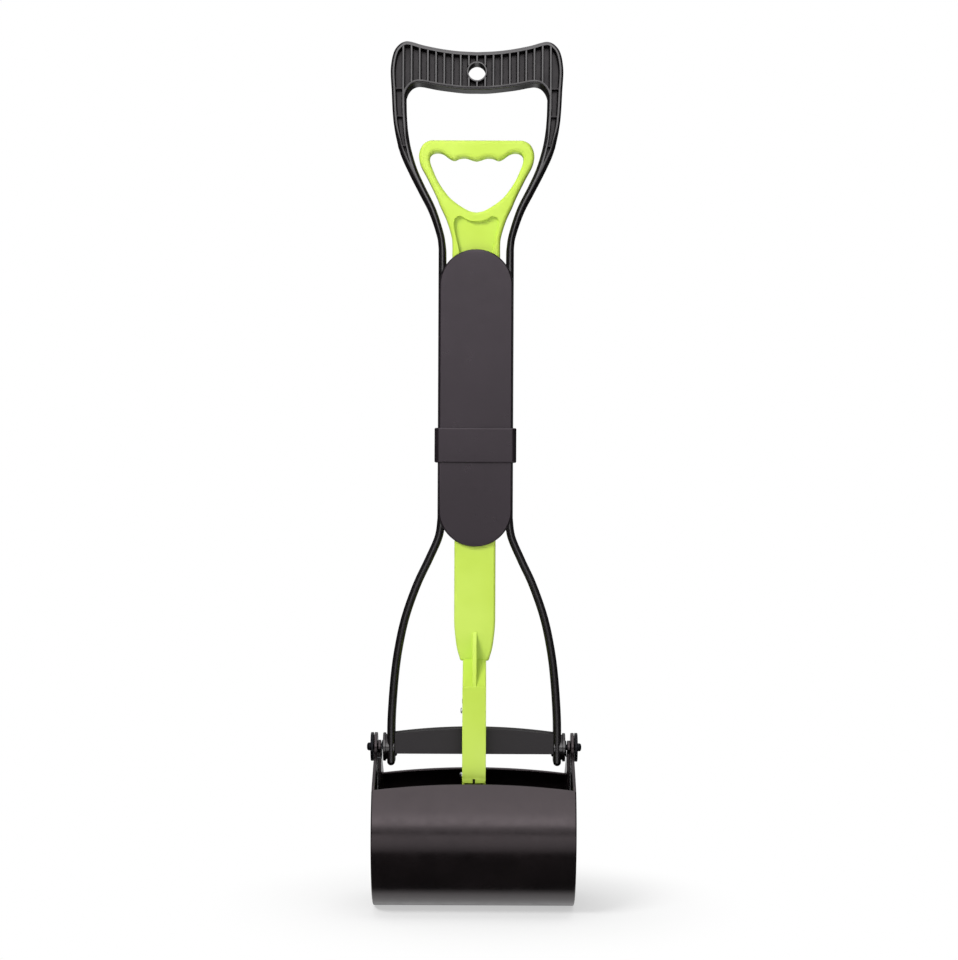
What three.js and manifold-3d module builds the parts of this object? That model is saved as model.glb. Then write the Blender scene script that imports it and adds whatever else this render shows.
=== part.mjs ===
// A foldable spring-jaw pooper scooper.
// A black frame with a ribbed D-grip carries a lime green pull handle. Pulling the handle lifts
// a rod inside the housing, and two channel links open the two clamshell jaws below. Torsion
// springs on the side pivots close them. The frame folds back at a hinge behind the housing,
// where a sliding collar locks it straight.
// Lengths are in millimetres. X is to the user's right, Y to the back and Z up. Heights are
// counted from the jaws' pivot axis, and the whole is then lowered so that the centre of the
// hanging hole is the origin.

import * as THREE from 'three';
import { mergeVertices } from 'three/addons/utils/BufferGeometryUtils.js';
import Module from 'manifold-3d';

const wasm = await Module();
wasm.setup();

// Main sizes
const lowerLength = 206; // pivot axis up to the fold line
const frameDepth = 18; // front to back of the frame's bars
const housingWidth = 52.6; // across the housing's side walls
const housingWall = 2.2;
const splitGap = 0.3; // between the two halves of the frame at the fold line
const partGap = 0.3; // between pieces that rest on each other
const slideGap = 0.4; // between pieces that slide
const overrun = 1; // how far a cut runs past the face that it opens
const onAxis = 0.001; // points nearer to the middle than this lie on it
const barBevel = 2; // rounding of the frame's bars

// Grip
const gripHeight = 25.8; // at the middle
const gripHalfWidth = 60.2;
const hornRise = 8; // of the grip's ends above its middle
const gripEndRise = 4.9; // of the hand opening's corners above its middle
const gripBevel = 1.2;
const gripBellySteps = 12;
const gripTopSteps = 18;
const gripRim = 1.7; // wall round the ribbed pocket
const gripWeb = 2.4; // wall between the front and back pockets
const ribPitch = 5.71;
const ribCount = 19;
const ribThickness = 1.3;
const ribRun = 12.5; // of the ribs below the grip's lower edge, where an arm lets them
const hangHoleRadius = 6.3;
const hangBossWall = 1.1;
const gripTopShares = [[0, 0], [0.22, 0.07], [0.42, 0.24], [0.62, 0.55], [0.72, 0.78], [0.78, 0.97]];
const gripHornShares = [[0.83, 1], [0.89, 0.8], [0.945, 0.35]];
const gripSideShares = [[0.976, 0.07], [0.994, 0.3], [1, 0.56]];
const gripBellyShares = [[0, 0], [0.16, 0.04], [0.44, 0.45], [0.64, 0.92], [0.7, 1], [0.755, 0.8]];
const gripCornerShares = [[0.795, 0.4]];

// Arms from the grip down to the housing: share of the height, share of the way out, share of width
const railMargin = 7.8; // of the straight sides past the cover's straight part
const armFootWidth = 5.4;
const armTopWidth = 10;
const armTopSpread = 54.5; // of the arms' centre lines from the middle
const armShares = [
  [0, 0, 0], [0.1, 0, 0], [0.156, 0.008, -0.03], [0.2255, 0.058, -0.07], [0.3515, 0.233, -0.02],
  [0.468, 0.477, 0.02], [0.564, 0.67, 0.17], [0.6726, 0.841, 0.6], [0.77, 0.932, 0.79],
  [0.8686, 0.979, 0.89], [1, 1, 1],
];
const armSteps = 10;
const armTuck = 10; // how far the arms run past their ends into what holds them
const channelEndShare = 0.59; // of the arm's height, where its pocket comes to a point
const channelFullShare = 0.8; // of the arm's height, where its pocket is full width
const channelWebShares = [0.7, 0.86, 1.01]; // of the arm's height, where webs cross the pocket
const channelWeb = 1.1;

// Cover plates
const coverInset = 0.8; // of the plates' edges from the housing's sides
const coverThickness = 2.3;
const coverBevel = 0.7;
const upperCoverLength = 141.7;
const lowerCoverLength = 65.6;
const coverSteps = 12;
const coverProud = 0.6; // of the plates in front of the frame's bars

// Cover screws and the posts that they bite into
const postRadius = 2.5;
const screwRadius = 1.2;
const screwLength = 9;
const screwHeadRadius = 2.7;
const screwHeadHeight = 1.5;
const upperScrewShares = [0.405, 0.947]; // of the cover's straight part, from the fold line
const lowerScrewShares = [0.3, 0.75];

// Fold hinge at the back face of the housing
const knuckleRadius = 3.6;
const knuckleWidth = 3.9;
const foldPinRadius = 1.5;
const rodKnuckleRadius = 3.4;
const rodKnuckleHalfWidth = 4.8; // of the lower rod's middle knuckle
const rodForkWidth = 4.2; // of each of the pull rod's two knuckles
const knuckleSlotMargin = 1; // beside the rod's knuckles in the back wall

// Lock collar
const collarHeight = 24.6;
const collarDrop = 7.8; // of its lower edge below the fold line
const collarWall = 1.8;
const collarFrontWall = 2;
const collarCorner = 3.4;
const collarBevel = 0.6;

// Pull handle and upper rod
const pullTravel = 31;
const pullGap = 34.6; // between the pull handle and the grip
const pullNeckLap = 2.7; // of the neck below the upper cover's top
const pullHeight = 79; // of the part that flares out above the rod
const pullToArm = 9.4; // between the handle's sides and the arms' tops
const rodToPost = 2.1; // between the pull rod and the covers' posts
const pullBevel = 2.3;
const pullSteps = 20;
const fingerSteps = 28;
const pullNeckShares = [[0, 0], [0, 0.08], [0.03, 0.16], [0.175, 0.299], [0.359, 0.418]];
const pullOuterShares = [
  [0.703, 0.511], [0.8576, 0.67], [0.9592, 0.765], [1, 0.82], [1, 0.87], [0.9673, 0.922],
  [0.9055, 0.963], [0.7981, 0.993], [0.7024, 1],
];
const pullSideBar = 7.4; // width of the bars beside the finger opening
const fingerHeight = 42.1;
const fingerTopDrop = 9.8; // of the opening's top below the handle's top
const fingerGripShares = [
  [0, 0.867], [0.09, 0.885], [0.2, 0.914], [0.29, 0.917], [0.38, 0.904], [0.465, 0.877],
  [0.54, 0.893], [0.61, 0.927], [0.694, 0.975], [0.79, 1], [0.9, 0.995], [0.972, 0.96], [1, 0.9],
];
const fingerBottomShares = [
  [0.98, 0.8], [0.92, 0.679], [0.844, 0.546], [0.76, 0.435], [0.673, 0.34], [0.578, 0.249],
  [0.446, 0.162], [0.29, 0.081], [0.141, 0.021], [0, 0],
];
const recessDepth = 3;
const recessHalfWidth = 15.8;
const recessTopDrop = 53; // of the neck recess below the handle's top
const recessHeight = 33;
const recessFootMargin = 6.1; // from the rod's sides
const recessShares = [
  [0, 0.89], [0.25, 0.9], [0.5, 0.95], [0.7, 1], [0.9, 0.97], [1, 0.88], [0.96, 0.72],
  [0.7, 0.4], [0.3, 0.12], [0, 0],
];
const rodWeb = 2.3; // front wall of the rods behind which their back is open
const rodRim = 2.1;
const rodCrossRib = 2;
const pullRodCells = 4;
const lowerRodCells = 3;

// Lower rod, its shoulders and gussets
const rodStep = 2.35; // of the lower rod's sides inside the pull rod's
const lowerRodBevel = 1.6;
const rodFootRise = 62; // of its lower edge above the pivot axis
const rodFootHalfWidth = 10.2;
const rodTaperHeight = 27;
const rodTaperShares = [[0, 0.06], [0.5, 0.4], [0.91, 0.85], [1, 1]]; // of the way out, of the height
const rodFootSolid = 30; // height of the closed foot
const shoulderThickness = 5.2;
const shoulderDrop = 17.2;
const shoulderHalfWidth = 8.1;
const gussetRise = 19.7; // above the rod's lower edge
const gussetWidth = 3.4;
const rodLugHalfWidth = 5.7;

// Links
const headCrownShare = 0.7; // of a pin head's radius at its rounded end
const linkPinRadius = 1.5;
const linkPinClearance = 0.3;
const linkHalfWidth = 8.1;
const linkFlange = 2;
const linkWeb = 1.8;
const linkWebRise = 16.7; // of the web above the top pin
const linkTopLead = 5.1; // of the web's face in front of the pins
const linkBottomLead = 2.5;
const linkEyeRadius = 3;
const linkTopEyeRadius = 5.5;
const linkBackTop = 4.5; // flange behind the pins at the top
const linkLength = 53.4;
const linkTaperStart = 8; // above the bottom pin, where the web starts to lean out
const linkTaperEnd = 17;
const linkWebEnd = 4; // above the bottom pin, where the web stops
const linkNotchWidth = 1.8;
const linkNotchHeight = 4.6;
const linkBevel = 0.5;
const topPinHeadLength = 0.9;
const topPinHeadRadius = 2;
const bottomPinHeadLength = 2;
const bottomPinHeadRadius = 2.4;

// Jaws: a cylinder that has the pivot axis on its surface, split down the middle
const bucketRadius = 55;
const jawWall = 2.2;
const jawSide = 2.1;
const frontJawHalfWidth = 69.7;
const lipDrop = 24.5; // of the lips' ends below the pivot axis
const lipArch = 4; // of the lips' middle above their ends
const seamGap = 0.4;
const frontEyeRadius = 10;
const rearEyeRadius = 4.7;
const jawOverlap = 5; // of the front jaw's sides past the seam
const earSag = 0.55; // of the drop to the lips' ends, where the ear's edge bends
const earStartAngle = Math.PI * 1.15; // round the eye, where the ear's edge leaves it
const lugPinReach = 33; // of the link pins in front of and behind the pivot axis
const lugPinDrop = 24.5;
const lugThickness = 1.2;
const lugMargin = 2.4;
const jawArcSteps = 18;

// Legs and crossbar
const legWidth = 5.5;
const legMargin = 5.9; // of the legs' straight part past the lower cover's
const legToDrumFace = 5.7; // from the legs' centre lines
const legTip = 14.2; // below the pivot axis
const legShares = [
  [0, 0], [0.081, 0.055], [0.181, 0.255], [0.2875, 0.487], [0.425, 0.714], [0.559, 0.854],
  [0.694, 0.939], [0.869, 0.995], [1, 1],
];
const legSteps = 8;
const crossbarDrop = 5.6;
const crossbarEndRise = 9;
const crossbarArch = 3.6;
const crossbarDepth = 14;
const crossbarWall = 2.2;
const crossbarSteps = 8;
const crossbarRibShares = [-0.5, 0, 0.5]; // of the way from the middle to the legs

// Pivots at the sides
const drumRadius = 9.4;
const drumFlangeRadius = 10.2;
const drumFlange = 2;
const drumLength = 8.8;
const drumToEar = 1.6; // between the drum's face and the rear jaw's ear
const drumCupRadius = 5.6;
const pivotPinRadius = 2;
const pivotPinClearance = 0.3;
const pivotPinDepth = 7.1; // inside the drum's face
const pivotHeadRadius = 2.8;
const pivotHeadLength = 2.5;
const washerRadius = 10;
const washerThickness = 2;
const earGap = 0.3;
const washerGap = 0.5;

// Torsion springs
const springWire = 0.9; // diameter
const springCoilRadius = 4.2; // to the middle of the wire
const springPitch = 1.4;
const springCurls = 2.25;
const springCurlSteps = 8;
const springSides = 5;
const springLeg = 4.2; // straight leg in the drum's slot
const springReach = 10.2; // of the outer leg's hook from the pivot axis
const springSlotWidth = 1.7;

// Facets round turned pieces
const pinSides = 12;
const drumSides = 20;
const smallSides = 8;

// Heights above the pivot axis and other places worked out from the sizes
const foldZ = lowerLength;
const pullNeckZ = foldZ + upperCoverLength - pullNeckLap;
const pullTopZ = pullNeckZ + pullHeight;
const gripBottomZ = pullTopZ + pullGap;
const gripTopZ = gripBottomZ + gripHeight;
const hangHoleZ = gripBottomZ + gripHeight / 2;
const frontY = -frameDepth / 2;
const backY = frameDepth / 2;
const coverFrontY = frontY - coverProud;
const coverBackY = coverFrontY + coverThickness;
const railFrontY = coverBackY + partGap;
const backWallY = backY - housingWall;
const housingHalf = housingWidth / 2;
const housingInner = housingHalf - housingWall;
const coverHalf = housingHalf - coverInset;
const armFootZ = foldZ + upperCoverLength - coverHalf + railMargin;
const legRise = foldZ - lowerCoverLength + coverHalf - legMargin;
const rodFrontY = coverBackY + slideGap;
const rodBackY = backWallY - slideGap;
const armFootX = housingHalf - armFootWidth / 2;
const postX = housingInner - postRadius - partGap;
const pullRodHalfWidth = postX - postRadius - rodToPost;
const pullHalfWidth = armTopSpread - armTopWidth / 2 - pullToArm;
const fingerHalfWidth = pullHalfWidth - pullSideBar;
const lowerRodHalfWidth = pullRodHalfWidth - rodStep;
const recessFootHalfWidth = pullRodHalfWidth - recessFootMargin;
const linkTopZ = linkLength - lugPinDrop;
const bucketZ = -bucketRadius;
const rearJawHalfWidth = frontJawHalfWidth - jawSide - earGap;
const washerInner = frontJawHalfWidth + washerGap;
const pivotHeadInner = washerInner + washerThickness + earGap;
const rearEarInner = rearJawHalfWidth - jawSide;
const drumOuter = rearEarInner - drumToEar;
const drumInner = drumOuter - drumLength;
const legSpread = drumOuter - legToDrumFace;
const pivotPinReach = drumOuter - pivotPinDepth;
const springEndX = (drumOuter + rearEarInner) / 2;
const springStartX = springEndX - springPitch * springCurls;
const drumCupX = springStartX - springWire / 2 - partGap;

// Geometry helpers

/** A closed geometry as a solid that can be joined and cut. */
function solid(geometry) {
  const bare = geometry.clone();
  for (const name of Object.keys(bare.attributes)) {
    if (name !== 'position') bare.deleteAttribute(name);
  }
  const merged = mergeVertices(bare);
  return new wasm.Manifold(new wasm.Mesh({
    numProp: 3,
    vertProperties: new Float32Array(merged.attributes.position.array),
    triVerts: new Uint32Array(merged.index.array),
  }));
}

/** The geometry of a finished solid. */
function geometryOf(body) {
  const mesh = body.getMesh();
  const geometry = new THREE.BufferGeometry();
  geometry.setAttribute('position', new THREE.BufferAttribute(mesh.vertProperties, mesh.numProp));
  geometry.setIndex(new THREE.BufferAttribute(mesh.triVerts, 1));
  geometry.computeVertexNormals();
  return geometry;
}

/** All solids joined into one. */
function joined(bodies) {
  return bodies.reduce((sum, body) => sum.add(body));
}

/** The first solid with all the others cut out of it. */
function cut(body, tools) {
  return tools.reduce((rest, tool) => rest.subtract(tool), body);
}

/** A geometry turned inside out by a mirror, with its faces put right again. */
function mirrored(geometry, axis) {
  const copy = geometry.clone();
  copy.scale(axis === 'x' ? -1 : 1, axis === 'y' ? -1 : 1, 1);
  const index = copy.index;
  for (let i = 0; i < index.count; i += 3) {
    const first = index.getX(i);
    index.setX(i, index.getX(i + 2));
    index.setX(i + 2, first);
  }
  copy.computeVertexNormals();
  return copy;
}

/** The mirror image of a solid. */
function mirroredSolid(body, axis) {
  return solid(mirrored(geometryOf(body), axis));
}

/** Turns a geometry that runs along Z so that it runs along the named axis, both ways the same hand. */
function aligned(geometry, axis) {
  const x = new THREE.Vector3(1, 0, 0);
  const y = new THREE.Vector3(0, 1, 0);
  const z = new THREE.Vector3(0, 0, 1);
  if (axis === 'x') geometry.applyMatrix4(new THREE.Matrix4().makeBasis(y, z, x));
  if (axis === 'y') geometry.applyMatrix4(new THREE.Matrix4().makeBasis(x, z, y.clone().negate()));
  return geometry;
}

/**
 * An outline drawn out along an axis, from one place to another, with rounded edges if asked.
 * Along 'x' the outline's points are (Y, Z), along 'y' they are (X, Z) and along 'z' (X, Y).
 */
function prism(outline, axis, from, to, bevel = 0, bevelSegments = 2) {
  const shape = outline instanceof THREE.Shape ? outline : new THREE.Shape(outline);
  const geometry = new THREE.ExtrudeGeometry(shape, {
    depth: to - from - 2 * bevel,
    bevelEnabled: bevel > 0,
    bevelThickness: bevel,
    bevelSize: bevel,
    bevelOffset: -bevel,
    bevelSegments,
    curveSegments: 12,
  });
  geometry.translate(0, 0, axis === 'y' ? bevel - to : from + bevel);
  return solid(aligned(geometry, axis));
}

/** A box between two corners. */
function block(low, high) {
  const size = high.map((value, i) => value - low[i]);
  const geometry = new THREE.BoxGeometry(...size);
  geometry.translate(...high.map((value, i) => (value + low[i]) / 2));
  return solid(geometry);
}

/** A round bar along an axis, at a place given in the other two axes. */
function bar(radius, axis, from, to, place, sides) {
  const geometry = new THREE.CylinderGeometry(radius, radius, to - from, sides);
  geometry.rotateX(Math.PI / 2);
  geometry.translate(place[0], place[1], 0);
  geometry.translate(0, 0, axis === 'y' ? -(from + to) / 2 : (from + to) / 2);
  return solid(aligned(geometry, axis));
}

/** A turned piece: profile points are (distance along the axis, radius), first and last on the axis. */
function turned(profile, axis, place, sides) {
  const points = profile.map(([along, radius]) => new THREE.Vector2(radius, along));
  const geometry = new THREE.LatheGeometry(points, sides);
  geometry.rotateX(Math.PI / 2);
  geometry.translate(place[0], place[1], 0);
  return solid(aligned(geometry, axis));
}

/** A smooth line through points, as a list of the given number of steps. */
function smooth(points, steps) {
  return new THREE.SplineCurve(points).getPoints(steps);
}

/** Points on an arc round a centre, angles in radians. */
function arc(centre, radius, from, to, steps) {
  const points = [];
  for (let i = 0; i <= steps; i += 1) {
    const angle = from + (to - from) * i / steps;
    points.push(new THREE.Vector2(
      centre.x + radius * Math.cos(angle),
      centre.y + radius * Math.sin(angle),
    ));
  }
  return points;
}

/** A half outline from bottom middle to top middle, closed by its own mirror image. */
function closedByMirror(half) {
  const other = half.filter((point) => Math.abs(point.x) > onAxis);
  return [...half, ...other.reverse().map((point) => new THREE.Vector2(-point.x, point.y))];
}

/** The two sides of a band of varying width along a centre line. */
function bandSides(centres, widths) {
  const left = [];
  const right = [];
  centres.forEach((point, i) => {
    const before = centres[Math.max(i - 1, 0)];
    const after = centres[Math.min(i + 1, centres.length - 1)];
    const side = after.clone().sub(before).normalize();
    side.set(side.y, -side.x);
    right.push(point.clone().addScaledVector(side, widths[i] / 2));
    left.push(point.clone().addScaledVector(side, -widths[i] / 2));
  });
  return { left, right };
}

/** A closed outline moved inwards by a distance. */
function inset(outline, distance) {
  const area = THREE.ShapeUtils.area(outline);
  const turn = area > 0 ? 1 : -1;
  return outline.map((point, i) => {
    const before = outline[(i + outline.length - 1) % outline.length];
    const after = outline[(i + 1) % outline.length];
    const first = point.clone().sub(before).normalize();
    const second = after.clone().sub(point).normalize();
    const inward = new THREE.Vector2(-(first.y + second.y), first.x + second.x);
    const share = 2 * turn / Math.max(inward.lengthSq(), 1);
    return point.clone().addScaledVector(inward, distance * share);
  });
}

/** An obround outline from one centre to another. */
function obround(start, end, radius, steps) {
  const heading = Math.atan2(end.y - start.y, end.x - start.x);
  return [
    ...arc(end, radius, heading - Math.PI / 2, heading + Math.PI / 2, steps),
    ...arc(start, radius, heading + Math.PI / 2, heading + Math.PI * 1.5, steps),
  ];
}

/** The front half of a stadium plate: straight from the fold line, round at the far end. */
function stadium(halfWidth, length, direction, gap) {
  const centre = new THREE.Vector2(0, foldZ + direction * (length - halfWidth));
  const start = direction > 0 ? 0 : Math.PI;
  return [
    new THREE.Vector2(-halfWidth * direction, foldZ + direction * gap),
    new THREE.Vector2(halfWidth * direction, foldZ + direction * gap),
    ...arc(centre, halfWidth, start, start + Math.PI, coverSteps),
  ];
}

// Upper frame

/** The sides of the right arm, of the channel in its upper part and of the channel's pocket. */
function armSides() {
  const height = gripBottomZ - armFootZ;
  const line = smooth(armShares.map(([up, out]) => new THREE.Vector2(
    armFootX + out * (armTopSpread - armFootX),
    armFootZ + up * height,
  )), armSteps);
  const widths = smooth(armShares.map(([up, , wide]) => new THREE.Vector2(
    armFootWidth + wide * (armTopWidth - armFootWidth),
    up,
  )), armSteps).map((point) => point.x);
  const tipZ = armFootZ + channelEndShare * height;
  const start = line.findIndex((point) => point.y > tipZ);
  const below = line[start - 1];
  const tip = below.clone().lerp(line[start], (tipZ - below.y) / (line[start].y - below.y));
  const channelLine = [tip, ...line.slice(start)];
  const channelWidths = (rim) => channelLine.map((point, i) => {
    const taper = (point.y - tipZ) / (channelFullShare - channelEndShare) / height;
    const width = i === 0 ? 0 : widths[start + i - 1] - 2 * rim;
    return width * Math.sqrt(Math.min(taper, 1));
  });
  return {
    arm: bandSides(line, widths),
    channel: bandSides(channelLine, channelWidths(0)),
    pocket: bandSides(channelLine, channelWidths(gripRim)),
  };
}

/** Half of the outline of the grip and its channels, from the lower middle to the upper middle. */
function gripHalfOutline() {
  const { left, right } = armSides().channel;
  const place = (shares, base, unit) => shares.map(([across, up]) => new THREE.Vector2(
    across * gripHalfWidth,
    base + up * unit,
  ));
  const belly = place([...gripBellyShares, ...gripCornerShares], gripBottomZ, gripEndRise);
  const side = place(gripSideShares, gripTopZ, -gripHeight).reverse();
  const top = place([...gripTopShares, ...gripHornShares], gripTopZ, hornRise).reverse();
  return [
    ...smooth([...belly, left.at(-1)], gripBellySteps),
    ...left.slice(1, -1).reverse(),
    ...right.slice(0, -1),
    ...smooth([right.at(-1), ...side, ...top], gripTopSteps),
  ];
}

/** The right arm's outline, straight down past the fold line. */
function armOutline() {
  const { left, right } = armSides().arm;
  const head = new THREE.Vector2(0, armTuck);
  const footZ = foldZ - armTuck;
  return [
    new THREE.Vector2(left[0].x, footZ),
    new THREE.Vector2(right[0].x, footZ),
    ...right,
    right.at(-1).clone().add(head),
    left.at(-1).clone().add(head),
    ...left.reverse(),
  ];
}

/** The same half outline inside the rims, for the pockets. */
function pocketHalfOutline() {
  const { left, right } = armSides().pocket;
  const half = gripHalfOutline();
  const rim = inset(closedByMirror(half), gripRim).slice(0, half.length);
  return [
    ...rim.slice(0, gripBellySteps),
    ...left.reverse(),
    ...right.slice(1),
    ...rim.slice(-gripTopSteps),
  ];
}

/** The ribbed pockets of the grip and arms on the front. */
function gripPocket() {
  const depth = (frameDepth - gripWeb) / 2;
  const from = frontY - overrun;
  const to = frontY + depth;
  const ribs = [];
  for (let i = 0; i < ribCount; i += 1) {
    const x = (i - (ribCount - 1) / 2) * ribPitch;
    ribs.push(block(
      [x - ribThickness / 2, from - overrun, gripBottomZ - ribRun],
      [x + ribThickness / 2, to + overrun, gripTopZ + hornRise],
    ));
  }
  const webs = channelWebShares.map((share) => {
    const z = armFootZ + share * (gripBottomZ - armFootZ);
    const right = block(
      [(armFootX + armTopSpread) / 2, from - overrun, z - channelWeb / 2],
      [gripHalfWidth + overrun, to + overrun, z + channelWeb / 2],
    );
    return right.add(mirroredSolid(right, 'x'));
  });
  const bossRadius = hangHoleRadius + hangBossWall;
  const boss = bar(bossRadius, 'y', from - overrun, to + overrun, [0, hangHoleZ], drumSides);
  return cut(prism(closedByMirror(pocketHalfOutline()), 'y', from, to), [...ribs, ...webs, boss]);
}

/** The knuckles of the fold hinge on the right side, with the room that the other half needs. */
function knuckles(from, to, grow) {
  const side = bar(knuckleRadius + grow, 'x', from - grow, to + grow, [backY, foldZ], drumSides / 2);
  return side.add(mirroredSolid(side, 'x'));
}

const outerKnuckle = [housingHalf - knuckleWidth, housingHalf];
const innerKnuckle = [housingHalf - 2 * knuckleWidth - partGap, housingHalf - knuckleWidth - partGap];
const rodForkOuter = rodKnuckleHalfWidth + partGap + rodForkWidth;
const knuckleSlotHalf = rodForkOuter + knuckleSlotMargin;

/** Holes for the fold pins. */
function foldPinHoles() {
  const radius = foldPinRadius + partGap;
  const hole = bar(radius, 'x', innerKnuckle[0] - overrun, housingHalf + overrun, [backY, foldZ], pinSides);
  return hole.add(mirroredSolid(hole, 'x'));
}

/** Side rails, back wall and rod guides of one half of the housing, cut off at the fold line. */
function housing(rail, length, guideInner, direction) {
  const foldFace = foldZ + direction * splitGap / 2;
  const straight = foldZ + direction * (length - coverHalf);
  const low = Math.min(foldFace, straight);
  const high = Math.max(foldFace, straight);
  const guide = block(
    [guideInner, railFrontY + partGap, low],
    [guideInner + housingWall / 2, backY, high],
  );
  const back = prism(stadium(coverHalf, length, direction, splitGap / 2), 'y', backWallY, backY);
  const beyond = foldFace - direction * 2 * armTuck;
  const past = block(
    [-housingWidth, frontY - overrun, Math.min(foldFace, beyond)],
    [housingWidth, backY + overrun, Math.max(foldFace, beyond)],
  );
  const rails = rail.add(mirroredSolid(rail, 'x')).subtract(past);
  return joined([rails, guide, mirroredSolid(guide, 'x'), back]);
}

/** Holes for the cover's screws in the back wall, and for its posts in the rails before it. */
function screwHoles(heights) {
  return heights.flatMap((z) => [-postX, postX].flatMap((x) => [
    bar(screwRadius + partGap, 'y', backWallY - overrun, backY + overrun, [x, z], smallSides),
    bar(postRadius + partGap, 'y', railFrontY - overrun, backWallY, [x, z], smallSides),
  ]));
}

const upperScrewHeights = upperScrewShares.map((share) => foldZ + share * (upperCoverLength - coverHalf));
const lowerScrewHeights = lowerScrewShares.map((share) => foldZ - share * (lowerCoverLength - coverHalf));

function upperFrame() {
  const arm = prism(armOutline(), 'y', frontY, backY, barBevel);
  const grip = prism(closedByMirror(gripHalfOutline()), 'y', frontY, backY, gripBevel, 1);
  const guideInner = pullRodHalfWidth + slideGap;
  const shell = housing(arm, upperCoverLength, guideInner, 1);
  const body = joined([grip, shell, knuckles(...outerKnuckle, 0)]);
  const pocket = gripPocket();
  const seat = prism(
    stadium(coverHalf + partGap, upperCoverLength + partGap, 1, -overrun),
    'y', frontY - overrun, railFrontY,
  );
  const shoulderZ = foldZ + upperCoverLength - coverHalf;
  const sides = block(
    [-housingWidth, frontY - overrun, foldZ - overrun],
    [housingWidth, railFrontY, shoulderZ],
  );
  const slot = block(
    [-knuckleSlotHalf, backWallY - overrun, foldZ - overrun],
    [knuckleSlotHalf, backY + overrun, foldZ + pullTravel + rodKnuckleRadius + knuckleSlotMargin],
  );
  const hole = bar(hangHoleRadius, 'y', frontY - overrun, backY + overrun, [0, hangHoleZ], drumSides);
  return cut(body, [
    pocket,
    mirroredSolid(pocket, 'y'),
    seat,
    sides,
    slot,
    knuckles(...innerKnuckle, partGap),
    foldPinHoles(),
    hole,
    ...screwHoles(upperScrewHeights),
  ]);
}

// Covers and their screws

/** A cover plate with the posts that take its screws. */
function cover(length, direction, heights) {
  const plate = prism(
    stadium(coverHalf, length, direction, splitGap / 2),
    'y', coverFrontY, coverBackY, coverBevel, 1,
  );
  const posts = heights.flatMap((z) => [-postX, postX].map((x) => (
    bar(postRadius, 'y', coverBackY - coverThickness / 2, backWallY - partGap, [x, z], smallSides)
  )));
  const pilots = heights.flatMap((z) => [-postX, postX].map((x) => (
    bar(screwRadius + partGap, 'y', backY - screwLength - partGap, backWallY, [x, z], smallSides)
  )));
  return cut(joined([plate, ...posts]), pilots);
}

/** A cover's screw, driven in from the back. */
function coverScrew(x, z) {
  const start = backY - screwLength;
  const seat = backY + partGap;
  const profile = [
    [start, 0],
    [start + screwRadius, screwRadius],
    [seat, screwRadius],
    [seat, screwHeadRadius],
    [seat + screwHeadHeight / 2, screwHeadRadius],
    [seat + screwHeadHeight, screwHeadRadius / 2],
    [seat + screwHeadHeight, 0],
  ];
  const flipped = profile.map(([along, radius]) => [-along, radius]).reverse();
  return turned(flipped, 'y', [x, z], smallSides);
}

// Fold pins

function foldPin(side) {
  const start = innerKnuckle[0];
  const end = outerKnuckle[1];
  const pin = bar(foldPinRadius, 'x', start, end, [backY, foldZ], pinSides);
  return side > 0 ? pin : mirroredSolid(pin, 'x');
}

function rodHingePin() {
  return bar(foldPinRadius, 'x', -rodForkOuter, rodForkOuter, [backY, foldZ], pinSides);
}

// Lock collar

function roundedRectangle(halfWidth, low, high, radius, steps) {
  const corner = (x, y, start) => arc(new THREE.Vector2(x, y), radius, start, start + Math.PI / 2, steps);
  return [
    ...corner(halfWidth - radius, low + radius, -Math.PI / 2),
    ...corner(halfWidth - radius, high - radius, 0),
    ...corner(-halfWidth + radius, high - radius, Math.PI / 2),
    ...corner(-halfWidth + radius, low + radius, Math.PI),
  ];
}

function lockCollar() {
  const innerHalf = housingHalf + slideGap;
  const innerFront = coverFrontY - slideGap;
  const innerBack = backY + knuckleRadius + slideGap;
  const bottom = foldZ - collarDrop;
  const outer = roundedRectangle(
    innerHalf + collarWall,
    innerFront - collarFrontWall,
    innerBack + collarFrontWall,
    collarCorner,
    5,
  );
  const inner = roundedRectangle(innerHalf, innerFront, innerBack, collarWall / 2, 1);
  return cut(prism(outer, 'z', bottom, bottom + collarHeight, collarBevel), [
    prism(inner, 'z', bottom - overrun, bottom + collarHeight + overrun),
  ]);
}

// Pull handle with the upper rod

/** Open cells in the back of a rod, with cross ribs between them. */
function rodCells(halfWidth, low, high, count, web) {
  const pitch = (high - low + rodCrossRib) / count;
  const cells = [];
  for (let i = 0; i < count; i += 1) {
    const start = low + i * pitch;
    cells.push(block(
      [-halfWidth, rodFrontY + web, start],
      [halfWidth, rodBackY + overrun, start + pitch - rodCrossRib],
    ));
  }
  return joined(cells);
}

/** A rod's hinge knuckle with the neck that carries it. */
function rodKnuckle(from, to, direction) {
  const eye = bar(rodKnuckleRadius, 'x', from, to, [backY, foldZ], drumSides / 2);
  const face = foldZ + direction * splitGap / 2;
  const far = foldZ + direction * rodKnuckleRadius;
  const neck = block(
    [from, rodBackY - rodRim, Math.min(face, far)],
    [to, backY, Math.max(face, far)],
  );
  return eye.add(neck);
}

/** Room round the other rod's knuckle. */
function rodKnuckleRoom(from, to) {
  const radius = rodKnuckleRadius + partGap;
  return bar(radius, 'x', from - partGap, to + partGap, [backY, foldZ], drumSides / 2);
}

const forkFrom = rodKnuckleHalfWidth + partGap;

function rodPinHole() {
  const reach = rodForkOuter + overrun;
  return bar(foldPinRadius + partGap, 'x', -reach, reach, [backY, foldZ], pinSides);
}

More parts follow.
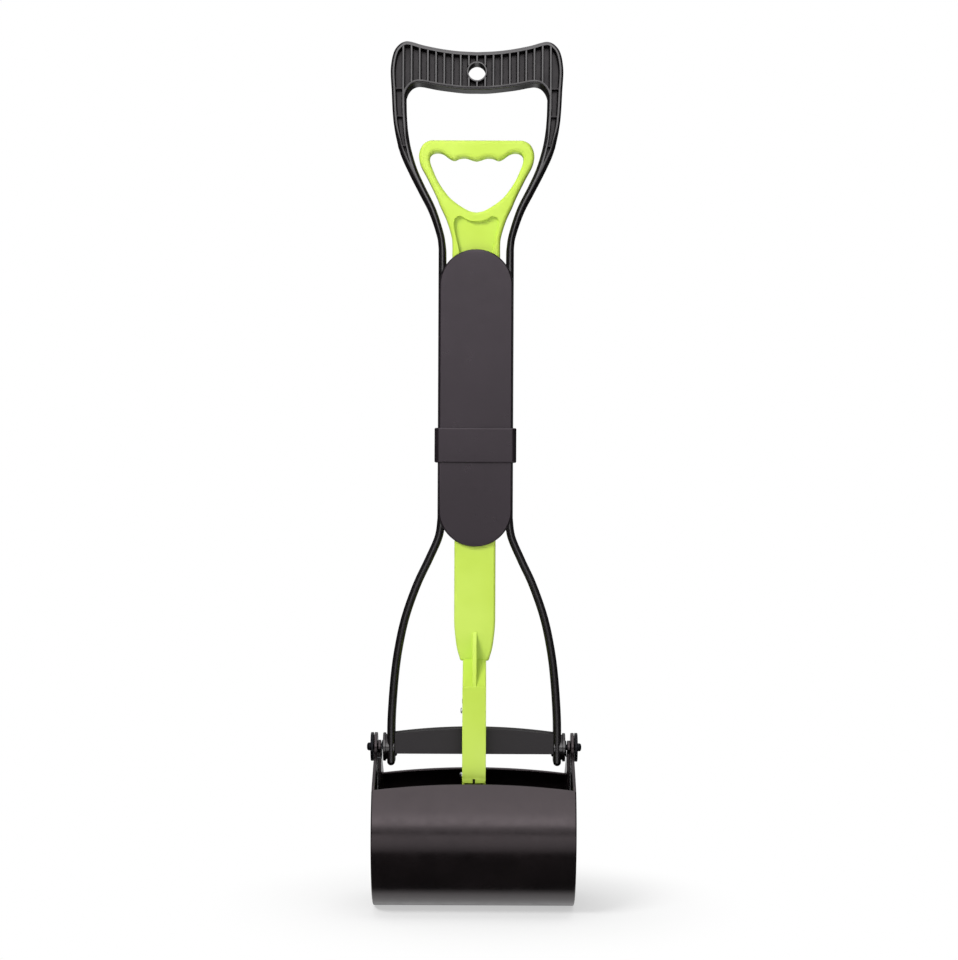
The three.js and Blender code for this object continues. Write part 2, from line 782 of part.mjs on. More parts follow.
function pullHandle() {
  const flare = pullHalfWidth - pullRodHalfWidth;
  const neck = pullNeckShares.map(([out, up]) => new THREE.Vector2(
    pullRodHalfWidth + out * flare,
    pullNeckZ + up * pullHeight,
  ));
  const side = pullOuterShares.map(([out, up]) => new THREE.Vector2(
    out * pullHalfWidth,
    pullNeckZ + up * pullHeight,
  ));
  const rodEnd = foldZ + splitGap / 2;
  const half = [
    new THREE.Vector2(0, rodEnd),
    new THREE.Vector2(pullRodHalfWidth, rodEnd),
    ...smooth([...neck, ...side], pullSteps),
    new THREE.Vector2(0, pullTopZ),
  ];
  const fingerTopZ = pullTopZ - fingerTopDrop;
  const finger = [...fingerGripShares, ...fingerBottomShares].map(([across, up]) => new THREE.Vector2(
    across * fingerHalfWidth,
    fingerTopZ - fingerHeight + up * fingerHeight,
  ));
  const shape = new THREE.Shape(closedByMirror(half));
  const opening = closedByMirror(smooth(finger.reverse(), fingerSteps));
  shape.holes.push(new THREE.Path(opening));
  const recessTopZ = pullTopZ - recessTopDrop;
  const spread = recessHalfWidth - recessFootHalfWidth;
  const recessSide = recessShares.slice(5).map(([out, up]) => new THREE.Vector2(
    recessFootHalfWidth + out * spread,
    recessTopZ - recessHeight + up * recessHeight,
  ));
  const recessTop = recessShares.slice(0, 5).map(([across, up]) => new THREE.Vector2(
    across * recessHalfWidth,
    recessTopZ - recessHeight + up * recessHeight,
  ));
  const recessEnd = foldZ + rodKnuckleRadius + rodRim;
  const recessHalf = [
    new THREE.Vector2(0, recessEnd),
    new THREE.Vector2(recessFootHalfWidth, recessEnd),
    ...smooth([...recessTop, ...recessSide], 18).reverse(),
  ];
  const recess = prism(closedByMirror(recessHalf), 'y', rodFrontY - overrun, rodFrontY + recessDepth);
  const cells = rodCells(
    pullRodHalfWidth - 2 * rodRim,
    foldZ + 2 * rodKnuckleRadius,
    pullNeckZ,
    pullRodCells,
    recessDepth + rodWeb,
  );
  const fork = rodKnuckle(forkFrom, rodForkOuter, 1);
  const body = joined([
    prism(shape, 'y', rodFrontY, rodBackY, pullBevel),
    fork,
    mirroredSolid(fork, 'x'),
  ]);
  return cut(body, [
    recess,
    cells,
    rodKnuckleRoom(-rodKnuckleHalfWidth, rodKnuckleHalfWidth),
    rodPinHole(),
  ]);
}

// Lower rod with shoulders

/** Front shoulder, gusset and pin lug; the back one is its mirror image. */
function shoulder() {
  const tipY = -lugPinReach - linkTopLead + linkWeb + slideGap + 2 * linkWeb;
  const tipZ = rodFootRise - shoulderDrop;
  const top = new THREE.Vector2(0, rodFootRise);
  const beam = prism([
    top,
    new THREE.Vector2(rodFrontY, rodFootRise),
    new THREE.Vector2(tipY, tipZ),
    new THREE.Vector2(tipY, tipZ - shoulderThickness),
    new THREE.Vector2(0, rodFootRise - shoulderThickness),
  ], 'x', -shoulderHalfWidth, shoulderHalfWidth);
  const gusset = prism([
    new THREE.Vector2(0, rodFootRise),
    new THREE.Vector2(0, rodFootRise + gussetRise),
    new THREE.Vector2(rodFrontY, rodFootRise + gussetRise),
    new THREE.Vector2(tipY, tipZ),
    new THREE.Vector2(tipY, tipZ - shoulderThickness / 2),
  ], 'x', -gussetWidth / 2, gussetWidth / 2);
  const eye = new THREE.Vector2(-lugPinReach, linkTopZ);
  const lug = prism([
    ...arc(eye, linkEyeRadius, Math.PI, 2 * Math.PI, 6),
    new THREE.Vector2(eye.x + 2 * linkEyeRadius, tipZ),
    new THREE.Vector2(tipY, tipZ - shoulderThickness / 2),
  ], 'x', -rodLugHalfWidth, rodLugHalfWidth);
  return joined([beam, gusset, lug]);
}

function lowerRod() {
  const end = foldZ - splitGap / 2;
  const half = [
    new THREE.Vector2(0, rodFootRise - shoulderThickness / 2),
    new THREE.Vector2(rodFootHalfWidth - lowerRodBevel, rodFootRise - shoulderThickness / 2),
    new THREE.Vector2(rodFootHalfWidth, rodFootRise),
    ...smooth(rodTaperShares.map(([out, up]) => new THREE.Vector2(
      rodFootHalfWidth + out * (lowerRodHalfWidth - rodFootHalfWidth),
      rodFootRise + up * rodTaperHeight,
    )), 6),
    new THREE.Vector2(lowerRodHalfWidth, end),
    new THREE.Vector2(0, end),
  ];
  const front = shoulder();
  const holeReach = shoulderHalfWidth + overrun;
  const holes = [-lugPinReach, lugPinReach].map((y) => (
    bar(linkPinRadius + linkPinClearance, 'x', -holeReach, holeReach, [y, linkTopZ], pinSides)
  ));
  const cells = rodCells(
    lowerRodHalfWidth - rodRim,
    rodFootRise + rodFootSolid,
    foldZ - 2 * rodKnuckleRadius,
    lowerRodCells,
    rodWeb,
  );
  const knuckle = rodKnuckle(-rodKnuckleHalfWidth, rodKnuckleHalfWidth, -1);
  const forkRoom = rodKnuckleRoom(forkFrom, rodForkOuter);
  return cut(joined([
    prism(closedByMirror(half), 'y', rodFrontY, rodBackY, lowerRodBevel),
    front,
    mirroredSolid(front, 'y'),
    knuckle,
  ]), [cells, forkRoom, mirroredSolid(forkRoom, 'x'), rodPinHole(), ...holes]);
}

// Links and their pins

/** The front link: a channel with its web in front and its flanges behind. */
function frontLink() {
  const pinY = -lugPinReach;
  const bottomZ = -lugPinDrop;
  const webTop = linkTopZ + linkWebRise;
  const topEye = new THREE.Vector2(pinY, linkTopZ);
  const bottomEye = new THREE.Vector2(pinY, bottomZ);
  const webBack = pinY - linkTopLead + linkWeb;
  const outline = [
    new THREE.Vector2(pinY - linkTopLead, webTop),
    new THREE.Vector2(pinY - linkTopLead, bottomZ + linkTaperEnd),
    new THREE.Vector2(pinY - linkBottomLead, bottomZ + linkTaperStart),
    new THREE.Vector2(pinY - linkBottomLead, bottomZ + linkBevel),
    ...arc(bottomEye, linkEyeRadius, Math.PI * 1.2, Math.PI * 2, 7),
    new THREE.Vector2(pinY + linkBackTop, bottomZ + 2 * linkTaperEnd),
    ...arc(topEye, linkTopEyeRadius, Math.PI / 6, Math.PI / 2, 4),
    new THREE.Vector2(webBack, linkTopZ + linkTopEyeRadius),
    new THREE.Vector2(webBack, webTop),
  ];
  const inside = [
    new THREE.Vector2(webBack, webTop + overrun),
    new THREE.Vector2(webBack, bottomZ + linkTaperEnd + linkWeb / 2),
    new THREE.Vector2(pinY - linkBottomLead + linkWeb, bottomZ + linkTaperStart),
    new THREE.Vector2(pinY - linkBottomLead + linkWeb, bottomZ + linkWebEnd),
    new THREE.Vector2(pinY - linkTopLead - overrun, bottomZ + linkWebEnd),
    new THREE.Vector2(pinY - linkTopLead - overrun, bottomZ - 2 * linkEyeRadius),
    new THREE.Vector2(pinY + 2 * linkTopEyeRadius, bottomZ - 2 * linkEyeRadius),
    new THREE.Vector2(pinY + 2 * linkTopEyeRadius, webTop + overrun),
  ];
  const clear = linkHalfWidth - linkFlange;
  const notch = block(
    [-linkNotchWidth / 2, pinY - 2 * linkTopLead, bottomZ],
    [linkNotchWidth / 2, pinY + linkBackTop, bottomZ + linkWebEnd + linkNotchHeight],
  );
  const reach = linkHalfWidth + overrun;
  const pinHoles = [linkTopZ, bottomZ].map((z) => (
    bar(linkPinRadius + linkPinClearance, 'x', -reach, reach, [pinY, z], pinSides)
  ));
  return cut(prism(outline, 'x', -linkHalfWidth, linkHalfWidth, linkBevel, 1), [
    prism(inside, 'x', -clear, clear),
    notch,
    ...pinHoles,
  ]);
}

/** A link's headed pin, with the head on the left. */
function linkPin(y, z, headLength, headRadius) {
  const headInner = -linkHalfWidth - partGap;
  return turned([
    [headInner - headLength, 0],
    [headInner - headLength, headRadius * headCrownShare],
    [headInner - headLength / 2, headRadius],
    [headInner, headRadius],
    [headInner, linkPinRadius],
    [linkHalfWidth, linkPinRadius],
    [linkHalfWidth, 0],
  ], 'x', [y, z], pinSides);
}

// Jaws

/** The jaws' full swing and the links' full tilt, at which their pins meet at the end of the pull. */
function fullSwing() {
  const tiltAt = (swing) => {
    const reach = lugPinReach * Math.cos(swing) + lugPinDrop * Math.sin(swing);
    return Math.asin((reach - lugPinReach) / linkLength);
  };
  const miss = (swing) => {
    const rise = lugPinReach * Math.sin(swing) + lugPinDrop * (1 - Math.cos(swing));
    return rise - pullTravel - linkLength * (1 - Math.cos(tiltAt(swing)));
  };
  let low = 0;
  let high = Math.PI / 2;
  for (let i = 0; i < 40; i += 1) {
    const middle = (low + high) / 2;
    if (miss(middle) < 0) low = middle;
    else high = middle;
  }
  return { swing: low, tilt: tiltAt(low) };
}

/** Where the front link's lower pin lies in the front jaw as both turn at steady rates. */
function pinPathInJaw(steps) {
  const { swing, tilt } = fullSwing();
  const points = [];
  for (let i = 0; i <= steps; i += 1) {
    const share = i / steps;
    const y = -lugPinReach - linkLength * Math.sin(share * tilt);
    const z = linkTopZ + share * pullTravel - linkLength * Math.cos(share * tilt);
    points.push(new THREE.Vector2(y, z).rotateAround(new THREE.Vector2(), share * swing));
  }
  return points;
}

/** The slotted lug inside the front jaw's lip that the link's lower pin pulls on. */
function jawLug() {
  const path = pinPathInJaw(12);
  const start = path[0];
  const farthest = path.reduce((far, point) => (
    point.distanceTo(start) > far.distanceTo(start) ? point : far
  ));
  const along = farthest.clone().sub(start).normalize();
  const stray = Math.max(...path.map((point) => (
    Math.abs(point.clone().sub(start).cross(along))
  )));
  const slotRadius = linkPinRadius + linkPinClearance + stray;
  const margin = slotRadius + lugMargin;
  const middle = bucketRadius - jawWall / 2;
  const wallY = (z) => -Math.sqrt(middle ** 2 - (z - bucketZ) ** 2);
  const rootTop = -lipDrop + lipArch - jawWall / 2;
  const rootLow = rootTop - 3 * margin;
  const root = [
    new THREE.Vector2(wallY(rootTop), rootTop),
    new THREE.Vector2(wallY(rootLow), rootLow),
    new THREE.Vector2(start.x, start.y - margin),
    new THREE.Vector2(start.x, start.y + margin),
  ];
  const half = lugThickness / 2;
  return {
    plate: joined([
      prism(obround(start, farthest, margin, 7), 'x', -half, half),
      prism(root, 'x', -half, half),
    ]),
    slot: prism(obround(start, farthest, slotRadius, 6), 'x', -lugThickness, lugThickness),
  };
}

/** A jaw in front of the pivot axis: a curved wall between two side plates with ears. */
function jaw(halfWidth, eyeRadius, past) {
  const centre = new THREE.Vector2(0, bucketZ);
  const lipAngle = (drop, radius) => Math.PI - Math.asin((bucketRadius - drop) / radius);
  const seamAngle = (radius) => Math.PI * 1.5 - Math.asin(seamGap / 2 / radius);
  const topDrop = lipDrop - lipArch;
  const innerRadius = bucketRadius - jawWall;
  const wall = prism([
    ...arc(centre, bucketRadius, lipAngle(topDrop, bucketRadius), seamAngle(bucketRadius), jawArcSteps),
    ...arc(centre, innerRadius, seamAngle(innerRadius), lipAngle(topDrop, innerRadius), jawArcSteps),
  ], 'x', -halfWidth, halfWidth);
  const archSteps = 10;
  const archLine = [];
  for (let i = 0; i <= archSteps; i += 1) {
    const across = 1 - 2 * i / archSteps;
    archLine.push(new THREE.Vector2(across * halfWidth, -lipDrop + lipArch * (1 - across ** 2)));
  }
  const above = prism([
    new THREE.Vector2(-halfWidth - overrun, -lipDrop),
    new THREE.Vector2(-halfWidth - overrun, 0),
    new THREE.Vector2(halfWidth + overrun, 0),
    new THREE.Vector2(halfWidth + overrun, -lipDrop),
    ...archLine,
  ], 'y', -2 * bucketRadius, 0);
  const seam = past > 0 ? past : -seamGap / 2;
  const eye = new THREE.Vector2(0, 0);
  const cornerAngle = lipAngle(lipDrop, bucketRadius);
  const corner = arc(centre, bucketRadius, cornerAngle, cornerAngle, 1)[0];
  const earStart = new THREE.Vector2(eyeRadius, 0).rotateAround(eye, earStartAngle);
  const bend = new THREE.Vector2((corner.x + earStart.x) / 2, corner.y * earSag);
  const earEdge = new THREE.QuadraticBezierCurve(earStart, bend, corner).getPoints(6);
  const plateRadius = bucketRadius - jawWall / 2;
  const plateEnd = Math.PI * 1.5 + Math.asin(seam / plateRadius);
  const sidePlate = prism([
    ...arc(centre, plateRadius, cornerAngle, plateEnd, jawArcSteps),
    ...arc(eye, eyeRadius, -Math.acos(seam / eyeRadius), earStartAngle, 14),
    ...earEdge.slice(1, -1),
  ], 'x', halfWidth - jawSide, halfWidth);
  const lug = jawLug();
  const pinRadius = pivotPinRadius + pivotPinClearance;
  const reach = halfWidth + overrun;
  return cut(joined([
    wall.subtract(above),
    sidePlate,
    mirroredSolid(sidePlate, 'x'),
    lug.plate,
  ]), [lug.slot, bar(pinRadius, 'x', -reach, reach, [0, 0], pinSides)]);
}

/** Hole in a jaw's ear for its spring's hook. */
function hookHole(side, y) {
  const radius = springWire / 2 + partGap;
  const from = rearEarInner - overrun;
  const to = frontJawHalfWidth + overrun;
  const z = -Math.sqrt(springReach ** 2 - y ** 2);
  const hole = bar(radius, 'x', from, to, [y, z], smallSides);
  return side > 0 ? hole : mirroredSolid(hole, 'x');
}

const hookY = springReach * Math.SQRT1_2;

function frontJaw() {
  return cut(jaw(frontJawHalfWidth, frontEyeRadius, jawOverlap), [hookHole(-1, -hookY)]);
}

function rearJaw() {
  const body = mirroredSolid(jaw(rearJawHalfWidth, rearEyeRadius, 0), 'y');
  return cut(body, [hookHole(1, hookY)]);
}

// Lower frame

/** The right leg's outline, from past the fold line down to its round tip. */
function legOutline() {
  const line = smooth(legShares.map(([down, out]) => new THREE.Vector2(
    housingHalf - legWidth / 2 + out * (legSpread - housingHalf + legWidth / 2),
    legRise * (1 - down),
  )), legSteps);
  const tipCentre = new THREE.Vector2(legSpread, -legTip + legWidth / 2);
  const { left, right } = bandSides(line, line.map(() => legWidth));
  const headZ = foldZ + armTuck;
  return [
    new THREE.Vector2(left[0].x, headZ),
    new THREE.Vector2(right[0].x, headZ),
    ...right,
    ...arc(tipCentre, legWidth / 2, Math.PI, Math.PI * 2, 8).slice(1, -1),
    ...left.reverse(),
  ];
}

/** The arched bar between the legs, open at the back with ribs across. */
function crossbar() {
  const reach = legSpread;
  const top = [];
  for (let i = 0; i <= crossbarSteps; i += 1) {
    const across = 1 - 2 * i / crossbarSteps;
    top.push(new THREE.Vector2(across * reach, crossbarEndRise + crossbarArch * (1 - across ** 2)));
  }
  const outline = [
    new THREE.Vector2(-reach, -crossbarDrop),
    new THREE.Vector2(reach, -crossbarDrop),
    ...top,
  ];
  const front = -crossbarDepth / 2;
  const body = prism(outline, 'y', front, crossbarDepth / 2, crossbarWall / 3, 1);
  const hollow = prism(inset(outline, crossbarWall), 'y', front + crossbarWall, crossbarDepth);
  const ribs = crossbarRibShares.map((share) => block(
    [share * reach - crossbarWall / 2, front, -crossbarDrop + crossbarWall / 2],
    [share * reach + crossbarWall / 2, crossbarDepth / 2 - crossbarWall, crossbarEndRise],
  ));
  return joined([body.subtract(hollow), ...ribs]);
}

/** The drum that carries the right pivot pin, with a cup and a slot for its spring. */
function pivotDrum() {
  const flangeInner = drumOuter - drumFlange;
  return turned([
    [drumInner, 0],
    [drumInner, drumRadius],
    [flangeInner, drumRadius],
    [flangeInner, drumFlangeRadius],
    [drumOuter, drumFlangeRadius],
    [drumOuter, drumCupRadius],
    [drumCupX, drumCupRadius],
    [drumCupX, 0],
  ], 'x', [0, 0], drumSides);
}

function pivotHole() {
  const radius = pivotPinRadius + pivotPinClearance;
  return bar(radius, 'x', pivotPinReach - partGap, drumOuter + overrun, [0, 0], pinSides);
}

function springSlot() {
  return block(
    [drumCupX, -springSlotWidth / 2, springCoilRadius],
    [drumOuter + overrun, springSlotWidth / 2, springCoilRadius + springLeg + springWire],
  );
}

function lowerFrame() {
  const leg = prism(legOutline(), 'y', frontY, backY, barBevel);
  const drum = cut(pivotDrum(), [springSlot()]);
  const guideInner = lowerRodHalfWidth + slideGap;
  const shell = housing(leg, lowerCoverLength, guideInner, -1);
  const body = joined([shell, crossbar(), knuckles(...innerKnuckle, 0)]);
  const seat = prism(
    stadium(coverHalf + partGap, lowerCoverLength + partGap, -1, -overrun),
    'y', frontY - overrun, railFrontY,
  );
  const shoulderZ = foldZ - lowerCoverLength + coverHalf;
  const sides = block(
    [-housingWidth, frontY - overrun, shoulderZ],
    [housingWidth, railFrontY, foldZ + overrun],
  );
  const rodWay = block(
    [-guideInner, coverBackY, shoulderZ - 2 * coverHalf],
    [guideInner, backWallY, foldZ],
  );
  const slot = block(
    [-knuckleSlotHalf, backWallY - overrun, foldZ - rodKnuckleRadius - knuckleSlotMargin],
    [knuckleSlotHalf, backY + overrun, foldZ + overrun],
  );
  const room = bar(drumCupRadius, 'x', drumCupX, drumOuter, [0, 0], drumSides);
  const shaped = cut(body, [
    seat,
    sides,
    rodWay,
    slot,
    room,
    mirroredSolid(room, 'x'),
    knuckles(...outerKnuckle, partGap),
    foldPinHoles(),
    ...screwHoles(lowerScrewHeights),
  ]);
  return cut(joined([shaped, drum, mirroredSolid(drum, 'x')]), [
    pivotHole(),
    mirroredSolid(pivotHole(), 'x'),
  ]);
}

// Pivot pins, washers and springs

function pivotPin() {
  return turned([
    [pivotPinReach, 0],
    [pivotPinReach, pivotPinRadius],
    [pivotHeadInner, pivotPinRadius],
    [pivotHeadInner, pivotHeadRadius],
    [pivotHeadInner + pivotHeadLength / 2, pivotHeadRadius],
    [pivotHeadInner + pivotHeadLength, pivotHeadRadius * headCrownShare],
    [pivotHeadInner + pivotHeadLength, 0],
  ], 'x', [0, 0], pinSides);
}

function pivotWasher() {
  const outer = bar(washerRadius, 'x', washerInner, washerInner + washerThickness, [0, 0], drumSides);
  const radius = pivotPinRadius + pivotPinClearance;
  return cut(outer, [
    bar(radius, 'x', washerInner - overrun, washerInner + washerThickness + overrun, [0, 0], pinSides),
  ]);
}

/**
 * The wire's middle line on the right: a leg in the drum's slot, the curls, and a leg out to the
 * hook in a jaw's ear. A lean of 1 takes the hook to the front and a lean of -1 to the back.
 */
function springPath(lean, hookEnd) {
  const points = [new THREE.Vector3(springStartX, 0, springCoilRadius + springLeg)];
  const count = Math.round(springCurls * springCurlSteps);
  const turn = Math.PI * 2 / springCurlSteps;
  for (let i = 0; i <= count; i += 1) {
    const angle = Math.PI / 2 + lean * i * turn;
    points.push(new THREE.Vector3(
      springStartX + springPitch * i / springCurlSteps,
      springCoilRadius * Math.cos(angle),
      springCoilRadius * Math.sin(angle),
    ));
  }
  const hookZ = -Math.sqrt(springReach ** 2 - hookY ** 2);
  points.push(new THREE.Vector3(springEndX, -lean * hookY, hookZ));
  points.push(new THREE.Vector3(hookEnd, -lean * hookY, hookZ));
  return points;
}

/** One unbroken round wire along a line of points. */
function wire(points, radius, sides) {
  const positions = [];
  const index = [];
  let normal = new THREE.Vector3(0, 1, 0);
  points.forEach((point, i) => {
    const before = points[Math.max(i - 1, 0)];
    const after = points[Math.min(i + 1, points.length - 1)];
    const into = point.clone().sub(before).normalize();
    const out = after.clone().sub(point).normalize();
    const tangent = into.add(out).normalize();
    normal = normal.clone().addScaledVector(tangent, -normal.dot(tangent));
    if (normal.lengthSq() < Number.EPSILON) normal.set(tangent.y, tangent.z, tangent.x);
    normal.normalize();
    const binormal = tangent.clone().cross(normal);
    for (let s = 0; s < sides; s += 1) {
      const angle = Math.PI * 2 * s / sides;
      const place = point.clone()
        .addScaledVector(normal, radius * Math.cos(angle))
        .addScaledVector(binormal, radius * Math.sin(angle));
      positions.push(place.x, place.y, place.z);
    }
  });
  for (let i = 0; i < points.length - 1; i += 1) {
    for (let s = 0; s < sides; s += 1) {
      const a = i * sides + s;
      const b = i * sides + (s + 1) % sides;
      index.push(a, b, b + sides, a, b + sides, a + sides);
    }
  }
  const last = (points.length - 1) * sides;
  for (let s = 1; s < sides - 1; s += 1) {
    index.push(0, s + 1, s, last, last + s, last + s + 1);
  }
  const geometry = new THREE.BufferGeometry();
  geometry.setAttribute('position', new THREE.Float32BufferAttribute(positions, 3));
  geometry.setIndex(index);
  geometry.computeVertexNormals();
  return geometry;
}

/** The least gap between turns of a wire that lie at least half a curl apart along it. */
function leastGap(points, diameter) {
  const fine = [];
  for (let i = 0; i < points.length - 1; i += 1) {
    for (let step = 0; step < 6; step += 1) {
      fine.push(points[i].clone().lerp(points[i + 1], step / 6));
    }
  }
  const lengths = [0];
  for (let i = 1; i < fine.length; i += 1) {
    lengths.push(lengths[i - 1] + fine[i].distanceTo(fine[i - 1]));
  }
  const apart = Math.PI * springCoilRadius;
  let least = Infinity;
  for (let i = 0; i < fine.length; i += 1) {
    for (let j = i + 1; j < fine.length; j += 1) {
      if (lengths[j] - lengths[i] >= apart) least = Math.min(least, fine[i].distanceTo(fine[j]));
    }
  }
  return least - diameter;
}

function torsionSpring(lean, hookEnd) {
  const points = springPath(lean, hookEnd);
  const gap = leastGap(points, springWire);
  console.log(`torsion spring: least gap between its curls ${gap.toFixed(2)} mm`);
  return wire(points, springWire / 2, springSides);
}

// Materials

const blackPlastic = { color: 0x1b1b1d, roughness: 0.38, metalness: 0 };
const glossBlack = { color: 0x1d1b1c, roughness: 0.25, metalness: 0 };
const panelGrey = { color: 0x4a454a, roughness: 0.42, metalness: 0 };
const limePlastic = { color: 0xc8ec50, roughness: 0.4, metalness: 0 };
const steel = { color: 0xb9bcc0, roughness: 0.3, metalness: 1 };
const darkSteel = { color: 0x303134, roughness: 0.35, metalness: 0.8 };

// Assembly

const scooper = new THREE.Group();
const fromPivot = new THREE.Group();
fromPivot.position.z = -hangHoleZ;
scooper.add(fromPivot);

/** Adds one named piece to the scooper. */
function addPiece(name, shape, look) {
  const geometry = shape.isBufferGeometry ? shape : geometryOf(shape);
  const mesh = new THREE.Mesh(geometry, new THREE.MeshStandardMaterial(look));
  mesh.name = name;
  fromPivot.add(mesh);
}

/** Adds the four screws of one cover. */
function addScrews(half, heights) {
  heights.forEach((z, row) => {
    addPiece(`${half}_cover_screw_left_${row + 1}`, coverScrew(-postX, z), steel);
    addPiece(`${half}_cover_screw_right_${row + 1}`, coverScrew(postX, z), steel);
  });
}

addPiece('upper_frame', upperFrame(), blackPlastic);
addPiece('upper_cover', cover(upperCoverLength, 1, upperScrewHeights), panelGrey);
addScrews('upper', upperScrewHeights);
addPiece('fold_pin_left', foldPin(-1), steel);
addPiece('fold_pin_right', foldPin(1), steel);
addPiece('lock_collar', lockCollar(), panelGrey);
addPiece('pull_handle', pullHandle(), limePlastic);
addPiece('rod_hinge_pin', rodHingePin(), steel);
addPiece('lower_frame', lowerFrame(), blackPlastic);
addPiece('lower_cover', cover(lowerCoverLength, -1, lowerScrewHeights), panelGrey);
addScrews('lower', lowerScrewHeights);
addPiece('lower_rod', lowerRod(), limePlastic);

const link = geometryOf(frontLink());
addPiece('front_link', link, limePlastic);
addPiece('rear_link', mirrored(link, 'y'), limePlastic);
for (const [end, y] of [['front', -lugPinReach], ['rear', lugPinReach]]) {
  addPiece(`${end}_link_top_pin`, linkPin(y, linkTopZ, topPinHeadLength, topPinHeadRadius), steel);
  const bottom = linkPin(y, -lugPinDrop, bottomPinHeadLength, bottomPinHeadRadius);
  addPiece(`${end}_link_bottom_pin`, bottom, steel);
}

addPiece('front_jaw', frontJaw(), glossBlack);
addPiece('rear_jaw', rearJaw(), glossBlack);

const pin = geometryOf(pivotPin());
const washer = geometryOf(pivotWasher());
addPiece('pivot_pin_right', pin, darkSteel);
addPiece('pivot_pin_left', mirrored(pin, 'x'), darkSteel);
addPiece('pivot_washer_right', washer, darkSteel);
addPiece('pivot_washer_left', mirrored(washer, 'x'), darkSteel);
const frontHookEnd = frontJawHalfWidth - partGap;
const rearHookEnd = rearJawHalfWidth - partGap;
addPiece('torsion_spring_right', torsionSpring(-1, rearHookEnd), steel);
addPiece('torsion_spring_left', mirrored(torsionSpring(1, frontHookEnd), 'x'), steel);

export default scooper;
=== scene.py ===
# %% [markdown]
# # A folding pooper scooper with a spring jaw
# The imported model is loaded first and stays as it is: every piece made below takes its place
# from it, and all but the two springs move with one of its bodies. All sizes are in millimetres,
# counted from the jaws' pivot axis, and each finished mesh is scaled and set down into the
# model's frame at the end.

# %% Load the frame
import math

import bmesh
import bpy
from mathutils import Matrix, Vector


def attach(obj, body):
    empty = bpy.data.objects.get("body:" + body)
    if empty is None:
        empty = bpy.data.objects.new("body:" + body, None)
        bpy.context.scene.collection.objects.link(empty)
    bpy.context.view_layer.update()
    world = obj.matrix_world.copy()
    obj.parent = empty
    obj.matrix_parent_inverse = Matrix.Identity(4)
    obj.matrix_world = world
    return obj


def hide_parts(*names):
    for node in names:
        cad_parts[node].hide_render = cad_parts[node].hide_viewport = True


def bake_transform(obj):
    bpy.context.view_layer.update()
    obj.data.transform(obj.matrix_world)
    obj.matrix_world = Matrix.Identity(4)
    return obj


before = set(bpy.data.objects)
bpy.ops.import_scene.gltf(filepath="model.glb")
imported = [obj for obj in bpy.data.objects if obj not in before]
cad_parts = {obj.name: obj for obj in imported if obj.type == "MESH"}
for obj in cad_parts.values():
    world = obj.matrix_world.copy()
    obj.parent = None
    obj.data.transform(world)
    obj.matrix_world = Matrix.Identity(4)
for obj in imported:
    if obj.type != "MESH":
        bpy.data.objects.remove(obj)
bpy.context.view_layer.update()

# %% [markdown]
# ## Main sizes
# Nearly all are the values of the CAD source. The two halves of the frame meet at the fold line,
# and every front or back face has a name, so that a moulding can be set against its neighbour.
# `BEYOND` is how far out a cutter ends, clear of what it cuts. Two faces in one plane would show
# black specks, so where pieces overlap one of them is sunk by `SINK`.

# %% Sizes shared by several pieces
PIVOT_Z = -471.5
TO_FRAME = Matrix.Scale(0.001, 4) @ Matrix.Translation((0, 0, PIVOT_Z))

FOLD = 206
UPPER_LENGTH, LOWER_LENGTH = 141.7, 65.6
COVER_TOP = FOLD + UPPER_LENGTH
NECK = COVER_TOP - 2.7
HANDLE_RISE = 79
HANDLE_TOP = NECK + HANDLE_RISE
GRIP_LOW = HANDLE_TOP + 34.6
GRIP_HEIGHT = 25.8
GRIP_TOP = GRIP_LOW + GRIP_HEIGHT
HANG_HOLE = GRIP_LOW + GRIP_HEIGHT / 2
FRONT, BACK = -9, 9
RAIL_FRONT = -7
BACK_WALL = 6.8
COVER_FRONT, COVER_BACK = -9.6, -7.03
ROD_FRONT, ROD_BACK = -6.9, 6.4
HOUSING_HALF = 26.3
COVER_HALF = 25.5
GAP = 0.3
BEYOND = 12
SINK = 0.03
print(f"over the pivots: fold line {FOLD}, cover top {COVER_TOP:.1f}, grip top {GRIP_TOP:.1f} mm")

# %% [markdown]
# ## Outlines
# Nearly every piece is a plastic moulding with flat faces and a shaped outline, so outlines come
# first. `smooth` draws a Catmull-Rom line, the curve that passes through each of its points, and
# `mirror` closes a half outline with its own mirror image.

# %% Smooth lines and arcs
def smooth(points, steps):
    """A smooth line through all the points."""
    line = []
    for i in range(steps + 1):
        place = (len(points) - 1) * i / steps
        k = min(int(place), len(points) - 2)
        w = place - k
        a, b, c, d = (Vector(points[max(0, min(len(points) - 1, k + n))]) for n in (-1, 0, 1, 2))
        line.append(b + (c - a) * w / 2 + (a - b * 2.5 + c * 2 - d / 2) * w ** 2
                    + (b * 1.5 - a / 2 - c * 1.5 + d / 2) * w ** 3)
    return line


def arc(centre, radius, start, end, steps):
    """Points on an arc, angles in degrees."""
    turns = [math.radians(start + (end - start) * i / steps) for i in range(steps + 1)]
    return [Vector((centre[0] + radius * math.cos(t), centre[1] + radius * math.sin(t))) for t in turns]


# %% Mirror images, strips and insets
def mirror(half):
    """A half outline with x of zero or more, closed by its mirror image."""
    half = [Vector(point) for point in half]
    return half + [Vector((-p.x, p.y)) for p in reversed(half) if abs(p.x) > 0.001]


def band(centres, widths):
    """The left and right side of a strip of varying width."""
    left, right = [], []
    for i, point in enumerate(centres):
        ahead = centres[min(i + 1, len(centres) - 1)] - centres[max(i - 1, 0)]
        side = Vector((ahead.y, -ahead.x)).normalized() * widths[i] / 2
        right.append(point + side)
        left.append(point - side)
    return left, right


